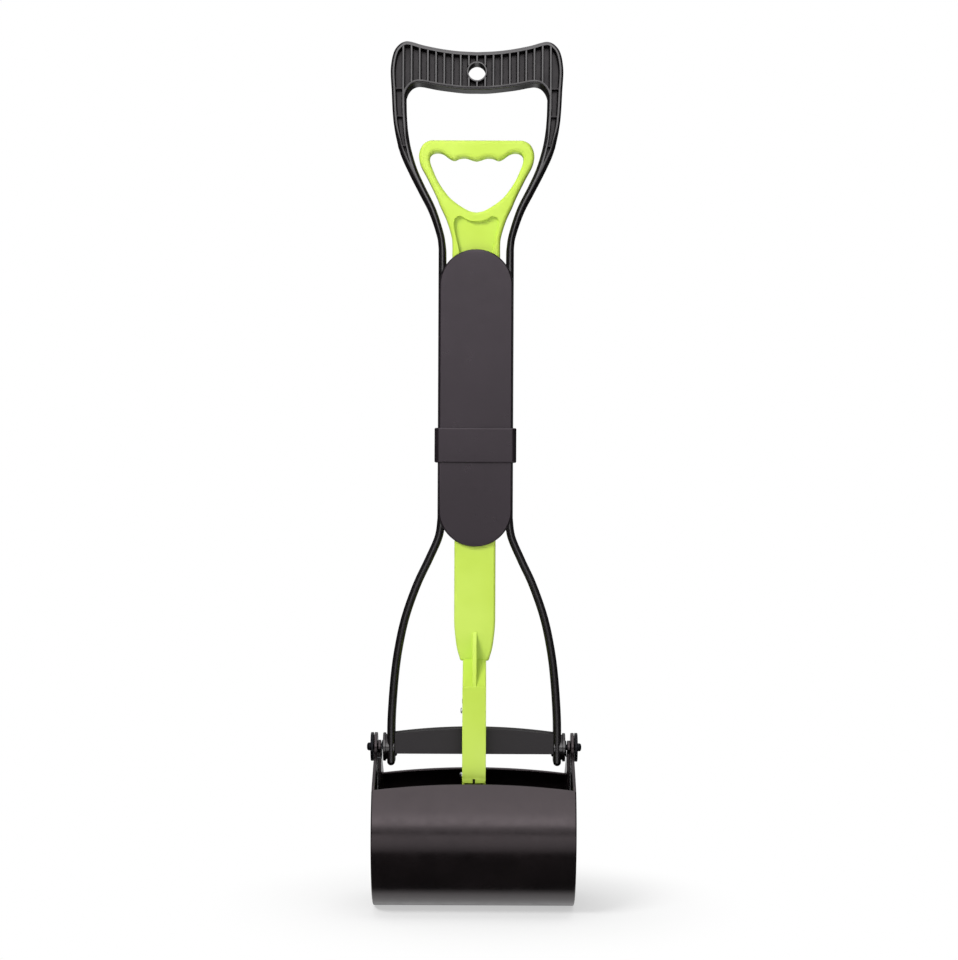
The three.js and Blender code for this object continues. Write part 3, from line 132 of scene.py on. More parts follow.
def inset(outline, distance):
    """A closed outline moved inwards."""
    count = len(outline)
    area = sum(outline[i - 1].x * outline[i].y - outline[i].x * outline[i - 1].y for i in range(count))
    moved = []
    for i, point in enumerate(outline):
        first = (point - outline[i - 1]).normalized()
        second = (outline[(i + 1) % count] - point).normalized()
        inward = Vector((-first.y - second.y, first.x + second.x))
        share = math.copysign(2, area) / max(inward.length_squared, 1)
        moved.append(point + inward * distance * share)
    return moved


# %% The outline of a cover plate
def stadium(half, length, way, gap):
    """A plate that is straight at the fold line and round at its far end."""
    start = FOLD + way * gap
    turn = 0 if way > 0 else 180
    end = arc((0, FOLD + way * (length - half)), half, turn, turn + 180, 40)
    return [(-half * way, start), (half * way, start)] + end


print("cover outline:", len(stadium(COVER_HALF, UPPER_LENGTH, 1, GAP / 2)), "points")

# %% [markdown]
# ## Making meshes
# A moulding is a filled flat curve: Blender gives it thickness with `extrude` and rounded edges
# with `bevel_depth`, and a negative offset keeps the outline at its full size. It is turned into
# a mesh before it is placed. `opened` and `closed` go between meshes and the bmesh they are
# worked on in. Turned parts are spun round their axis, and pockets are carved with an exact
# boolean, the way a core leaves a hollow in the mould.

# %% From mesh to bmesh and back
def opened(*meshes):
    """A bmesh that holds copies of meshes."""
    bm = bmesh.new()
    for mesh in meshes:
        bm.from_mesh(mesh)
    return bm


def closed(bm, name="part"):
    """The mesh of a bmesh, which is then freed."""
    mesh = bpy.data.meshes.new(name)
    bm.to_mesh(mesh)
    bm.free()
    return mesh


def cleaned(bm):
    """A finished mesh with its doubles merged and its faces turned outwards."""
    bmesh.ops.remove_doubles(bm, verts=bm.verts, dist=0.0005)
    bmesh.ops.recalc_face_normals(bm, faces=bm.faces)
    return closed(bm)


# %% Objects and the meshes they show
def placed(name, data):
    """A new object in the scene."""
    made = bpy.data.objects.new(name, data)
    bpy.context.scene.collection.objects.link(made)
    return made


def evaluated(source):
    """The mesh that an object shows, after which the object isn't needed."""
    graph = bpy.context.evaluated_depsgraph_get()
    mesh = bpy.data.meshes.new_from_object(source.evaluated_get(graph))
    bpy.data.objects.remove(source)
    return mesh


# %% Flat mouldings
# Each lays a flat outline so that its thickness runs along that axis, with y towards the front.
AXES = {
    "x": Matrix(((0, 0, 1), (1, 0, 0), (0, 1, 0))).to_4x4(),
    "y": Matrix(((1, 0, 0), (0, 0, -1), (0, 1, 0))).to_4x4(),
    "z": Matrix.Identity(4),
}


def trace(curve, points, loop):
    """A line of straight stretches, added to a curve."""
    line = curve.splines.new("POLY")
    line.points.add(len(points) - 1)
    for point, place in zip(line.points, points):
        point.co = (*place, 1)
    line.use_cyclic_u = loop


def moulding(outlines, low, high, rounding, axis="y", rings=3):
    """A plate between two faces; the first outline is its edge and the others are holes."""
    curve = bpy.data.curves.new("outline", "CURVE")
    curve.dimensions = "2D"
    curve.fill_mode = "BOTH"
    curve.extrude = (high - low) / 2 - rounding
    curve.bevel_depth = rounding
    curve.bevel_resolution = rings
    curve.offset = -rounding
    for outline in outlines:
        trace(curve, [(across, up, 0) for across, up in outline], True)
    bm = opened(evaluated(placed("outline", curve)))
    middle = (low + high) / 2 * (-1 if axis == "y" else 1)
    bmesh.ops.transform(bm, matrix=AXES[axis] @ Matrix.Translation((0, 0, middle)), verts=bm.verts)
    return cleaned(bm)


# %% Boxes
def box(low, high, rounding=0.0):
    """A block between two corners."""
    low, high = Vector(low), Vector(high)
    bm = bmesh.new()
    bmesh.ops.create_cube(bm, size=1)
    place = Matrix.Translation((low + high) / 2) @ Matrix.Diagonal((*(high - low), 1))
    bmesh.ops.transform(bm, matrix=place, verts=bm.verts)
    if rounding:
        bmesh.ops.bevel(bm, geom=bm.edges[:], offset=rounding, segments=2, profile=0.5,
                        affect="EDGES", material=-1, clamp_overlap=True)
    return cleaned(bm)


# %% Turned parts
def turned(profile, axis="x", place=(0, 0), steps=48):
    """A profile of (along, radius) points spun round its axis; place is in the other two axes."""
    bm = bmesh.new()
    chain = [bm.verts.new((radius, 0, along)) for along, radius in profile]
    for first, second in zip(chain, chain[1:]):
        bm.edges.new((first, second))
    bmesh.ops.spin(bm, geom=bm.verts[:] + bm.edges[:], cent=(0, 0, 0), axis=(0, 0, 1), dvec=(0, 0, 0),
                   angle=math.tau, steps=steps, use_merge=True)
    turn = AXES[axis]
    move = {"x": (0, *place), "y": (place[0], 0, place[1]), "z": (*place, 0)}[axis]
    if axis == "y":
        turn = turn @ Matrix.Scale(-1, 4, (0, 0, 1))
    bmesh.ops.transform(bm, matrix=Matrix.Translation(move) @ turn, verts=bm.verts)
    return cleaned(bm)


def rod(radius, axis, start, end, place, steps=32, easing=0.0):
    """A plain round bar, with its ends' edges eased."""
    ease = min(easing, radius / 2)
    return turned([(start, 0), (start, radius - ease), (start + ease, radius), (end - ease, radius),
                   (end, radius - ease), (end, 0)], axis, place, steps)


# %% Mirrored and carved meshes
def mirrored(part, axis):
    """A mesh mirrored across a plane through the middle, right side out."""
    bm = opened(part)
    way = {"x": (1, 0, 0), "y": (0, 1, 0)}[axis]
    bmesh.ops.transform(bm, matrix=Matrix.Scale(-1, 4, way), verts=bm.verts)
    return cleaned(bm)


def carved(part, tools):
    """A mesh with hollows cut out of it."""
    target = placed("target", part)
    tool = placed("tool", closed(opened(*tools)))
    cut = target.modifiers.new("Cut", "BOOLEAN")
    cut.operation = "DIFFERENCE"
    cut.solver = "EXACT"
    cut.use_self = True
    cut.object = tool
    mesh = evaluated(target)
    bpy.data.objects.remove(tool)
    return mesh


# %% A finished piece
SHARP_FROM = math.radians(38)


def piece(name, parts, material, slot, body, *nodes):
    """Joins the parts, sets them down in the frame, ties them to a body and hides the CAD nodes they
    stand for.
    """
    mesh = closed(opened(*parts), name)
    mesh.transform(TO_FRAME)
    mesh.shade_smooth()
    mesh.set_sharp_from_angle(angle=SHARP_FROM)
    made = placed(name, mesh)
    weighted = made.modifiers.new("Even shading", "WEIGHTED_NORMAL")
    weighted.keep_sharp = True
    made.data.materials.clear()
    made.data.materials.append(material)
    if body:
        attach(made, body)
    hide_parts(*nodes)
    print(f"{name}: {len(mesh.polygons)} faces, rides on {body}")
    return made


# %% [markdown]
# ## Materials
# A material is a tree of nodes. `add` places one node, sets its fields and its inputs, and links
# an input where it is given another node's output. Colours are written as on a screen, in hex,
# and turned into the linear values that the shader expects.

# %% Node helpers
def linear(colour):
    """A hex colour as linear red, green and blue."""
    parts = [int(colour[i:i + 2], 16) / 255 for i in (1, 3, 5)]
    return (*[c / 12.92 if c <= 0.04045 else ((c + 0.055) / 1.055) ** 2.4 for c in parts], 1)


def add(tree, kind, inputs=None, **fields):
    """One node with its fields, its values and its links."""
    made = tree.nodes.new(kind)
    for name, value in fields.items():
        setattr(made, name, value)
    for socket, value in (inputs or {}).items():
        if isinstance(value, bpy.types.NodeSocket):
            tree.links.new(value, made.inputs[socket])
        else:
            made.inputs[socket].default_value = value
    return made


def new_material(name):
    """An empty material with its tree."""
    made = bpy.data.materials.new(name)
    made.use_nodes = True
    made.node_tree.nodes.clear()
    return made, made.node_tree


def per_metre(size_mm):
    """The scale of a noise whose features are that many millimetres wide."""
    return 1000 / size_mm


# %% [markdown]
# ### Moulded plastics
# The frame is ABS from a spark-eroded mould: a satin black with a very fine grain, a little
# uneven where the melt cooled. Its outermost faces are rubbed glossier by hands than the pockets
# and flanks behind them, which a clear coat gives that sets in near the front and the back. The
# cover plates and the collar are the same plastic in a dark warm grey. The lime pieces are
# polypropylene, softer to the eye, with a broad sheen. The jaws come from a polished mould, so
# they mirror the room in wide soft bands. All four are one recipe: two close shades mixed by a
# large soft noise, a roughness that wanders by a few hundredths, and a bump of fine grain. The
# real grain is about 0.1 mm wide and is drawn at 0.45 to 0.8 mm, so that it shows.

# %% The plastic recipe
POLISH_FROM, POLISH_FULL = 0.0078, 0.0086


def moulded_plastic(name, light, dark, rough, wander, grain_mm, grain_um, ior, flow_mm=60,
                    sheen="#FFFFFF", polish=0.0):
    """A moulded thermoplastic with cloudy shades and a fine grain; polish is its outer coat."""
    made, tree = new_material(name)
    place = add(tree, "ShaderNodeTexCoord").outputs["Object"]
    flow = add(tree, "ShaderNodeTexNoise",
               {"Vector": place, "Scale": per_metre(flow_mm), "Detail": 3.0, "Roughness": 0.5})
    shade = add(tree, "ShaderNodeValToRGB", {"Fac": flow.outputs["Fac"]})
    shade.color_ramp.elements[0].position = 0.3
    shade.color_ramp.elements[0].color = linear(dark)
    shade.color_ramp.elements[1].position = 0.7
    shade.color_ramp.elements[1].color = linear(light)
    haze = add(tree, "ShaderNodeTexNoise",
               {"Vector": place, "Scale": per_metre(9), "Detail": 4.0, "Roughness": 0.6})
    rough_at = add(tree, "ShaderNodeMapRange",
                   {"Value": haze.outputs["Fac"], "From Min": 0.3, "From Max": 0.7,
                    "To Min": rough - wander, "To Max": rough + wander})
    grain = add(tree, "ShaderNodeTexNoise",
                {"Vector": place, "Scale": per_metre(grain_mm), "Detail": 2.0, "Roughness": 0.5})
    bump = add(tree, "ShaderNodeBump",
               {"Height": grain.outputs["Fac"], "Strength": 1.0, "Distance": grain_um * 1e-6})
    shader = add(tree, "ShaderNodeBsdfPrincipled",
                 {"Base Color": shade.outputs["Color"], "Roughness": rough_at.outputs["Result"],
                  "Normal": bump.outputs["Normal"], "IOR": ior, "Specular Tint": linear(sheen),
                  "Coat Roughness": 0.12})
    if polish:
        depth = add(tree, "ShaderNodeSeparateXYZ", {"Vector": place}).outputs["Y"]
        depth = add(tree, "ShaderNodeMath", {0: depth}, operation="ABSOLUTE").outputs[0]
        outer = add(tree, "ShaderNodeMapRange",
                    {"Value": depth, "From Min": POLISH_FROM, "From Max": POLISH_FULL,
                     "To Max": polish})
        tree.links.new(outer.outputs["Result"], shader.inputs["Coat Weight"])
    add(tree, "ShaderNodeOutputMaterial", {"Surface": shader.outputs["BSDF"]})
    return made


black_abs = moulded_plastic("moulded_satin_black_abs", "#120F11", "#0C0A0B", rough=0.36, wander=0.03,
                            grain_mm=0.45, grain_um=2.5, ior=1.5, sheen="#FFF9FD", polish=1.0)
grey_abs = moulded_plastic("moulded_satin_dark_grey_abs", "#211C20", "#1A1619", rough=0.3, wander=0.03,
                           grain_mm=0.45, grain_um=3, ior=1.53, sheen="#FFF0FC")
lime_pp = moulded_plastic("moulded_satin_lime_polypropylene", "#CEEA60", "#C4E14E", rough=0.35,
                          wander=0.02, grain_mm=0.5, grain_um=2.5, ior=1.49, flow_mm=45)
jaw_abs = moulded_plastic("moulded_polished_black_abs", "#151112", "#0D0A0B", rough=0.2, wander=0.06,
                          grain_mm=0.8, grain_um=4, ior=1.53, flow_mm=25, sheen="#FFEEF4")
print("plastics:", [m.name for m in (black_abs, grey_abs, lime_pp, jaw_abs)])


# %% [markdown]
# ### Steels
# The screws and small pins are zinc-plated, so they are metals: full metallic, the colour in the
# reflection, fine lines from turning. The springs are oiled wire, so they are greyer. The pivot
# pins and their washers have a black oxide skin over the steel, darker and duller.

# %% The steel recipe
def steel(name, colour, rough, wander, line_mm, line_um):
    """A worked steel with fine marks."""
    made, tree = new_material(name)
    place = add(tree, "ShaderNodeTexCoord").outputs["Object"]
    marks = add(tree, "ShaderNodeTexNoise",
                {"Vector": place, "Scale": per_metre(line_mm), "Detail": 5.0, "Roughness": 0.7})
    rough_at = add(tree, "ShaderNodeMapRange",
                   {"Value": marks.outputs["Fac"], "From Min": 0.3, "From Max": 0.7,
                    "To Min": rough - wander, "To Max": rough + wander})
    bump = add(tree, "ShaderNodeBump",
               {"Height": marks.outputs["Fac"], "Strength": 1.0, "Distance": line_um * 1e-6})
    shader = add(tree, "ShaderNodeBsdfPrincipled",
                 {"Base Color": linear(colour), "Metallic": 1.0,
                  "Roughness": rough_at.outputs["Result"], "Normal": bump.outputs["Normal"]})
    add(tree, "ShaderNodeOutputMaterial", {"Surface": shader.outputs["BSDF"]})
    return made


zinc_steel = steel("zinc_plated_turned_steel", "#C9CCCF", rough=0.28, wander=0.06,
                   line_mm=1.2, line_um=6)
spring_steel = steel("oiled_spring_steel", "#56585B", rough=0.34, wander=0.06,
                     line_mm=0.8, line_um=4)
black_steel = steel("black_oxide_steel", "#1D1D20", rough=0.38, wander=0.06,
                    line_mm=1.5, line_um=6)
print("steels:", zinc_steel.name, spring_steel.name, black_steel.name)

# %% [markdown]
# ## Upper frame
# One moulding carries the D-grip, two curved arms and the upper half of the housing. The outline
# of the arms is a strip along a smooth centre line. In their upper part the arms are hollow
# channels that come to a point, and that channel opens into the pocket of the grip.

# %% The arms' centre line
ARM_FOOT = COVER_TOP - COVER_HALF + 7.8
ARM_WIDTH, ARM_WIDENING = 5.4, 4.6
ARM_FOOT_X = HOUSING_HALF - ARM_WIDTH / 2
ARM_TOP_X = 54.5
ARM_SHARES = [
    (0, 0, 0), (0.1, 0, 0), (0.156, 0.008, -0.03), (0.2255, 0.058, -0.07), (0.3515, 0.233, -0.02),
    (0.468, 0.477, 0.02), (0.564, 0.67, 0.17), (0.6726, 0.841, 0.6), (0.77, 0.932, 0.79),
    (0.8686, 0.979, 0.89), (1, 1, 1),
]
ARM_STEPS = 60
arm_height = GRIP_LOW - ARM_FOOT
arm_line = smooth([(ARM_FOOT_X + out * (ARM_TOP_X - ARM_FOOT_X), ARM_FOOT + up * arm_height)
                   for up, out, wide in ARM_SHARES], ARM_STEPS)
arm_widths = [p.x for p in smooth([(ARM_WIDTH + wide * ARM_WIDENING, up)
                                   for up, out, wide in ARM_SHARES], ARM_STEPS)]
arm_left, arm_right = band(arm_line, arm_widths)
print(f"arm: {arm_height:.1f} mm high, {min(arm_widths):.1f} to {max(arm_widths):.1f} mm wide")

# %% The channel in the arm's upper part
RIM = 2.5
CHANNEL_TIP = ARM_FOOT + 0.59 * arm_height
CHANNEL_OPENS = 0.21 * arm_height
tip_at = next(i for i, p in enumerate(arm_line) if p.y > CHANNEL_TIP)
channel_line = arm_line[tip_at:]


def channel_sides(rim):
    """The channel's sides, which open from a point to the arm's full width."""
    widths = []
    for i, point in enumerate(channel_line):
        share = min((point.y - channel_line[0].y) / CHANNEL_OPENS, 1)
        widths.append(max(arm_widths[tip_at + i] - 2 * rim, 0) * math.sqrt(share))
    return band(channel_line, widths)


print(f"channel: from {CHANNEL_TIP:.1f} mm up, {len(channel_line)} points")

# %% The grip's outline
GRIP_HALF = 60.2
BELLY_STEPS, TOP_STEPS = 40, 60


def shares(table, base, unit):
    """Points of the grip, from shares of its half width and of a height."""
    return [Vector((across * GRIP_HALF, base + up * unit)) for across, up in table]


belly = shares([(0, 0), (0.16, 0.04), (0.44, 0.45), (0.62, 0.87), (0.69, 0.9), (0.75, 0.6),
                (0.793, 0), (0.813, -0.55)], GRIP_LOW, 4.9)
side = shares([(1, 0.56), (0.994, 0.3), (0.976, 0.07)], GRIP_TOP, -GRIP_HEIGHT)
top = shares([(0.945, 0.35), (0.89, 0.8), (0.83, 1), (0.78, 0.99), (0.72, 0.88), (0.62, 0.66),
              (0.42, 0.36), (0.22, 0.17), (0, 0.09)], GRIP_TOP, 8)
grip_left, grip_right = channel_sides(0)
lower_edge = smooth(belly + [grip_left[-3]], BELLY_STEPS)
upper_edge = smooth([grip_right[-1]] + side + top, TOP_STEPS)
grip_half = lower_edge + grip_left[1:-3][::-1] + grip_right[:-1] + upper_edge


def pocket_outline(rim):
    """The pocket with both channels, that far inside the outline."""
    left, right = channel_sides(rim)
    line = inset(mirror(grip_half), rim)[:len(grip_half)]
    return mirror(line[:BELLY_STEPS] + left[:-3][::-1] + right[1:-1] + line[-TOP_STEPS:])


print("grip outline:", len(grip_half), "points; pocket:", len(pocket_outline(RIM)), "points")

# %% [markdown]
# The grip is made solid with softly rounded edges, and the pocket is then carved from the front
# and from the back, down to a web in the middle. Its walls lean, as they must for the core to
# leave the mould, so each shows as a dark line beside the bright rim. The ribs, the ring round
# the hanging hole and the cross webs are set in again, each a little lower than the rim.

# %% Grip with its pockets
grip = moulding([mirror(grip_half)], FRONT, BACK, 1.5)
arm_foot = FOLD + GAP / 2
arm_end = int(0.85 * ARM_STEPS)
arm_outline = ([Vector((arm_left[0].x, arm_foot)), Vector((arm_right[0].x, arm_foot))]
               + arm_right[:arm_end] + arm_left[:arm_end][::-1])
arm = moulding([inset(arm_outline, SINK)], FRONT + SINK, BACK - SINK, 2.3)
WALL_LEAN = 0.9


def both_pockets(rim, floor):
    """Cutters for a pocket with leaning walls in front and for one behind."""
    bm = bmesh.new()
    rings = [[bm.verts.new((p.x, y, p.y)) for p in pocket_outline(rim + lean)]
             for y, lean in ((-BEYOND, 0), (FRONT + 0.1, 0), (-floor, WALL_LEAN))]
    for ring, following in zip(rings, rings[1:]):
        for i in range(len(ring)):
            bm.faces.new((ring[i - 1], ring[i], following[i], following[i - 1]))
    for ring in (rings[0], rings[-1]):
        bm.faces.new(ring)
    bmesh.ops.triangulate(bm, faces=[face for face in bm.faces if len(face.verts) > 4])
    pocket = cleaned(bm)
    return [pocket, mirrored(pocket, "y")]


hole = rod(6.1, "y", -BEYOND, BEYOND, (0, HANG_HOLE), 64)
grip = carved(grip, both_pockets(RIM, 1.2) + [hole])
arm = carved(arm, both_pockets(RIM - 0.04, 1.15))
print("grip:", len(grip.polygons), "faces; arm:", len(arm.polygons), "faces")

# %% Ribs, ring and cross webs
RIB_COUNT, RIB_PITCH = 19, 5.71
RING_ROOM = 7


def heights_at(outline, x):
    """Where an upright line crosses a closed outline."""
    found = []
    for first, second in zip(outline, outline[1:] + outline[:1]):
        if (first.x - x) * (second.x - x) < 0:
            found.append(first.y + (second.y - first.y) * (x - first.x) / (second.x - first.x))
    return sorted(found)


rib_plan = [(0.5, -8.6), (1.25, -1), (1.25, 1), (0.5, 8.6), (-0.5, 8.6), (-1.25, 1), (-1.25, -1),
            (-0.5, -8.6)]
pocket_line = pocket_outline(RIM)
ribs = []
for i in range(RIB_COUNT):
    x = (i - RIB_COUNT // 2) * RIB_PITCH
    crossings = heights_at(pocket_line, x + 0.01)
    low, high = max(crossings[0], GRIP_LOW - 12.5) - 0.8, crossings[-1] + 0.8
    spans = [(low, high)]
    if abs(x) < RING_ROOM:
        clear = math.sqrt(RING_ROOM ** 2 - x ** 2)
        spans = [(low, HANG_HOLE - clear), (HANG_HOLE + clear, high)]
    plan = [Vector((x + across, y)) for across, y in rib_plan]
    ribs += [moulding([plan], a, b, 0.18, "z", rings=1) for a, b in spans]
ring = carved(rod(7.2, "y", -8.7, 8.7, (0, HANG_HOLE), 64, 0.3), [hole])
webs = []
for share in (0.7, 0.86, 1.01):
    z = ARM_FOOT + share * arm_height
    x = next(p.x for p in arm_line if p.y > min(z, GRIP_LOW - 0.5))
    webs += [box((side_x - 4.2, -6.5, z - 0.55), (side_x + 4.2, 6.5, z + 0.55), 0.12)
             for side_x in (x, -x)]
print("ribs:", len(ribs), "webs:", len(webs))

# %% [markdown]
# The housing is two side rails, which are the arms' straight lower ends, a back wall and two thin
# guides that the lime rod slides between. The cover plate sits in a seat in front, so the rails
# are lower there. The hinge knuckles stand behind the back wall, on the fold line.

# %% Housing of either half
KNUCKLE = 3.6
OUTER_KNUCKLE = (HOUSING_HALF - 3.9, HOUSING_HALF)
INNER_KNUCKLE = (HOUSING_HALF - 8.1, HOUSING_HALF - 4.2)


def both_sides(part):
    """A mesh and its mirror image across the middle."""
    return [part, mirrored(part, "x")]


def knuckle_pair(reach, radius, grow=0.0):
    """The hinge knuckles behind the back wall, on both sides."""
    return both_sides(rod(radius, "x", reach[0] - grow, reach[1] + grow, (BACK, FOLD), 32, 0.3))


def seat_cut(length, way):
    """The room in front of the rails for a cover plate."""
    shoulder = FOLD + way * (length - COVER_HALF)
    low, high = sorted((FOLD - way * 12, shoulder))
    plate = stadium(COVER_HALF + GAP, length + GAP, way, -2)
    return [moulding([plate], -BEYOND, RAIL_FRONT, 0),
            box((-60, -BEYOND, low), (60, RAIL_FRONT, high))]


def rod_slot(low, high):
    """The opening in the back wall for the rod's hinge, between heights from the fold line."""
    return box((-10.3, 5, FOLD + low), (10.3, BEYOND, FOLD + high))


def housing(length, way, guide):
    """Back wall and guides."""
    wall = moulding([stadium(COVER_HALF, length, way, GAP / 2)], BACK_WALL, BACK - SINK, 0.3)
    low, high = sorted((FOLD + way * GAP / 2, FOLD + way * (length - COVER_HALF)))
    return [wall] + both_sides(box((guide, -6.7, low), (guide + 1.1, BACK - 0.4, high)))


SCREW_X = 21.3
PIN_BORE = rod(1.65, "x", -40, 40, (BACK, FOLD))
upper_screws = [FOLD + share * (UPPER_LENGTH - COVER_HALF) for share in (0.405, 0.947)]
lower_screws = [FOLD - share * (LOWER_LENGTH - COVER_HALF) for share in (0.3, 0.75)]
print("housing: screws at", [round(z, 1) for z in upper_screws + lower_screws])

# %% Upper frame as one piece
knuckle_room = knuckle_pair(INNER_KNUCKLE, KNUCKLE + GAP, GAP)
rail_cuts = seat_cut(UPPER_LENGTH, 1) + knuckle_room
arms = [carved(part, rail_cuts) for part in both_sides(arm)]
upper_wall, *upper_guides = housing(UPPER_LENGTH, 1, guide=17.1)
upper_wall = carved(upper_wall, [rod_slot(-1, 35.4)] + knuckle_room)
piece("upper_frame_body",
      [grip, *arms, *ribs, ring, *webs, upper_wall, *upper_guides]
      + knuckle_pair(OUTER_KNUCKLE, KNUCKLE),
      black_abs, "black", "frame_top", "upper_frame")

# %% [markdown]
# ## Cover plates and screws
# Each half of the housing is closed by a dark grey plate, round at its far end, a little proud of
# the frame. Four self-tapping screws hold each plate from the back, driven into its posts. Their
# heads are low domes with a cross recess, carved with two thin blades.

# %% Cover plates
def cover(length, way, heights):
    """A plate with the posts that take its screws."""
    plate = moulding([stadium(COVER_HALF, length, way, GAP / 2)], COVER_FRONT, COVER_BACK, 1.1)
    return [plate] + [rod(2.5, "y", -8, 6.5, (x, z), 24) for z in heights for x in (-SCREW_X, SCREW_X)]


piece("upper_cover_plate", cover(UPPER_LENGTH, 1, upper_screws), grey_abs, "cover",
      "frame_top", "upper_cover")
piece("lower_cover_plate", cover(LOWER_LENGTH, -1, lower_screws), grey_abs, "cover",
      "frame_bottom", "lower_cover")


# %% Screws
def screw(x, z):
    """A dome-headed screw driven in from the back."""
    dome = [(9.3, 2.7), (9.9, 2.65), (10.4, 2.3), (10.7, 1.6), (10.8, 0)]
    body = turned([(0, 0), (0.8, 0.7), (1.6, 1.2), (9.3, 1.2), *dome], "y", (x, z), 32)
    blades = [box((x - 1.6, 9.8, z - 0.3), (x + 1.6, 12, z + 0.3)),
              box((x - 0.3, 9.8, z - 1.6), (x + 0.3, 12, z + 1.6))]
    return carved(body, blades)


for half, body, heights in (("upper", "frame_top", upper_screws),
                            ("lower", "frame_bottom", lower_screws)):
    for row, z in enumerate(heights, 1):
        for side_name, x in (("left", -SCREW_X), ("right", SCREW_X)):
            node = f"{half}_cover_screw_{side_name}_{row}"
            piece(f"{node}_head", [screw(x, z)], zinc_steel, "steel", body, node)

# %% [markdown]
# ## Lock collar
# A sleeve slides down over the fold line and keeps the frame straight. It is a short tube with a
# wide flat front and tighter rounded sides, so its outline is a rounded rectangle in plan with a
# second one inside. All its edges are eased, as they are where a hand pushes it up. It has the
# dark grey of the cover plates.

# %% Collar
def rounded_rectangle(half, low, high, radius):
    """A rectangle with round corners, in plan."""
    corners = ((half - radius, low + radius, -90), (half - radius, high - radius, 0),
               (radius - half, high - radius, 90), (radius - half, low + radius, 180))
    return [p for x, y, start in corners for p in arc((x, y), radius, start, start + 90, 8)]


COLLAR_LOW, COLLAR_TOP = FOLD - 7.0, FOLD + 17.1
collar = moulding([rounded_rectangle(28.5, -12, 15, 3.4), rounded_rectangle(26.7, -10, 13, 1.2)],
                  COLLAR_LOW, COLLAR_TOP, 0.9, "z")
piece("lock_collar_sleeve", [collar], grey_abs, "black", "collar", "lock_collar")

# %% [markdown]
# ## Pull handle
# The lime handle is the piece the fingers pull. Its outside flares from the rod to a broad flat
# top, the hand opening has four finger grooves above and a V below, and a shallow recess runs
# down the neck. The recess is carved: its rim stays crisp as in the photograph, and its floor is
# rounded. The rod's lower end has a fork, which turns on the fold line with the lower rod's eye.

# %% Handle outlines
HANDLE_HALF, UPPER_ROD_HALF = 40.1, 16.7
OPENING_HALF, OPENING_HEIGHT = 32.7, 42.1
RECESS_HALF, RECESS_FLARE, RECESS_HEIGHT = 10.6, 5.2, 33
flare = HANDLE_HALF - UPPER_ROD_HALF
neck = [(UPPER_ROD_HALF + out * flare, NECK + up * HANDLE_RISE)
        for out, up in ((0, 0), (0, 0.08), (0.03, 0.16), (0.175, 0.299), (0.359, 0.418))]
shoulders = [(out * HANDLE_HALF, NECK + up * HANDLE_RISE)
             for out, up in ((0.703, 0.511), (0.8576, 0.67), (0.9592, 0.765), (1, 0.83), (1, 0.885),
                             (0.97, 0.933), (0.915, 0.972), (0.82, 0.997), (0.72, 1))]
handle_half = ([(0, FOLD + GAP / 2), (UPPER_ROD_HALF, FOLD + GAP / 2)]
               + smooth(neck + shoulders, 90) + [(0, HANDLE_TOP)])
opening_low = HANDLE_TOP - 8.2 - OPENING_HEIGHT
opening_half = smooth([(across * OPENING_HALF, opening_low + up * OPENING_HEIGHT) for across, up in (
    (0, 0), (0.141, 0.021), (0.29, 0.081), (0.446, 0.162), (0.578, 0.249), (0.673, 0.34),
    (0.76, 0.435), (0.844, 0.546), (0.92, 0.679), (0.98, 0.8), (1, 0.9), (0.972, 0.96), (0.9, 0.995),
    (0.79, 1), (0.694, 0.975), (0.61, 0.927), (0.54, 0.893), (0.465, 0.877), (0.38, 0.904),
    (0.29, 0.917), (0.2, 0.914), (0.09, 0.885), (0, 0.867))], 120)
recess_low = HANDLE_TOP - 53 - RECESS_HEIGHT
recess_top = [(across * 15.8, recess_low + up * RECESS_HEIGHT)
              for across, up in ((0, 0.89), (0.25, 0.9), (0.5, 0.95), (0.7, 1), (0.9, 0.97))]
recess_side = [(RECESS_HALF + out * RECESS_FLARE, recess_low + up * RECESS_HEIGHT)
               for out, up in ((1, 0.88), (0.92, 0.72), (0.6, 0.48), (0.28, 0.28), (0.1, 0.12), (0, 0))]
recess_half = ([(0, FOLD + 5.5), (RECESS_HALF, FOLD + 5.5)]
               + smooth(recess_top + recess_side, 60)[::-1])
print(f"points of the handle: {len(handle_half)} outside, {len(opening_half)} in the opening")

# %% Handle and upper rod
EYE, EYE_ROOM, EYE_HALF = 3.4, 3.7, 4.8
FORK_INNER, FORK_OUTER = 5.1, 9.3
handle = moulding([mirror(handle_half), mirror(opening_half)], ROD_FRONT, ROD_BACK, 2.4, rings=4)
recess = moulding([mirror(recess_half)], -BEYOND, ROD_FRONT + 3, 1.2)
eye_room = rod(EYE_ROOM, "x", -FORK_INNER, FORK_INNER, (BACK, FOLD), 32)


def cells(half, low, high, count, floor):
    """Cutters for the open cells in the back of a rod."""
    wall = 2
    pitch = (high - low + wall) / count
    return [box((-half, floor, low + i * pitch), (half, BEYOND, low + (i + 1) * pitch - wall))
            for i in range(count)]


handle = carved(handle, [recess, eye_room] + cells(12.5, FOLD + 6.8, NECK, 4, ROD_FRONT + 5.3))
fork = (both_sides(rod(EYE, "x", FORK_INNER, FORK_OUTER, (BACK, FOLD), 32, 0.3))
        + both_sides(box((FORK_INNER, 4.3, FOLD + GAP / 2), (FORK_OUTER, BACK, FOLD + EYE), 0.3)))
piece("pull_handle_body", [handle, *fork], lime_pp, "lime", "pull", "pull_handle")

# %% [markdown]
# ## Lower frame
# Below the fold the frame spreads into two legs that run down to the pivots. They are solid bars
# with strongly rounded edges, so they show one bright line along the middle. An arched bar joins
# them, and each ends in a drum that carries a pivot pin and hides a torsion spring.

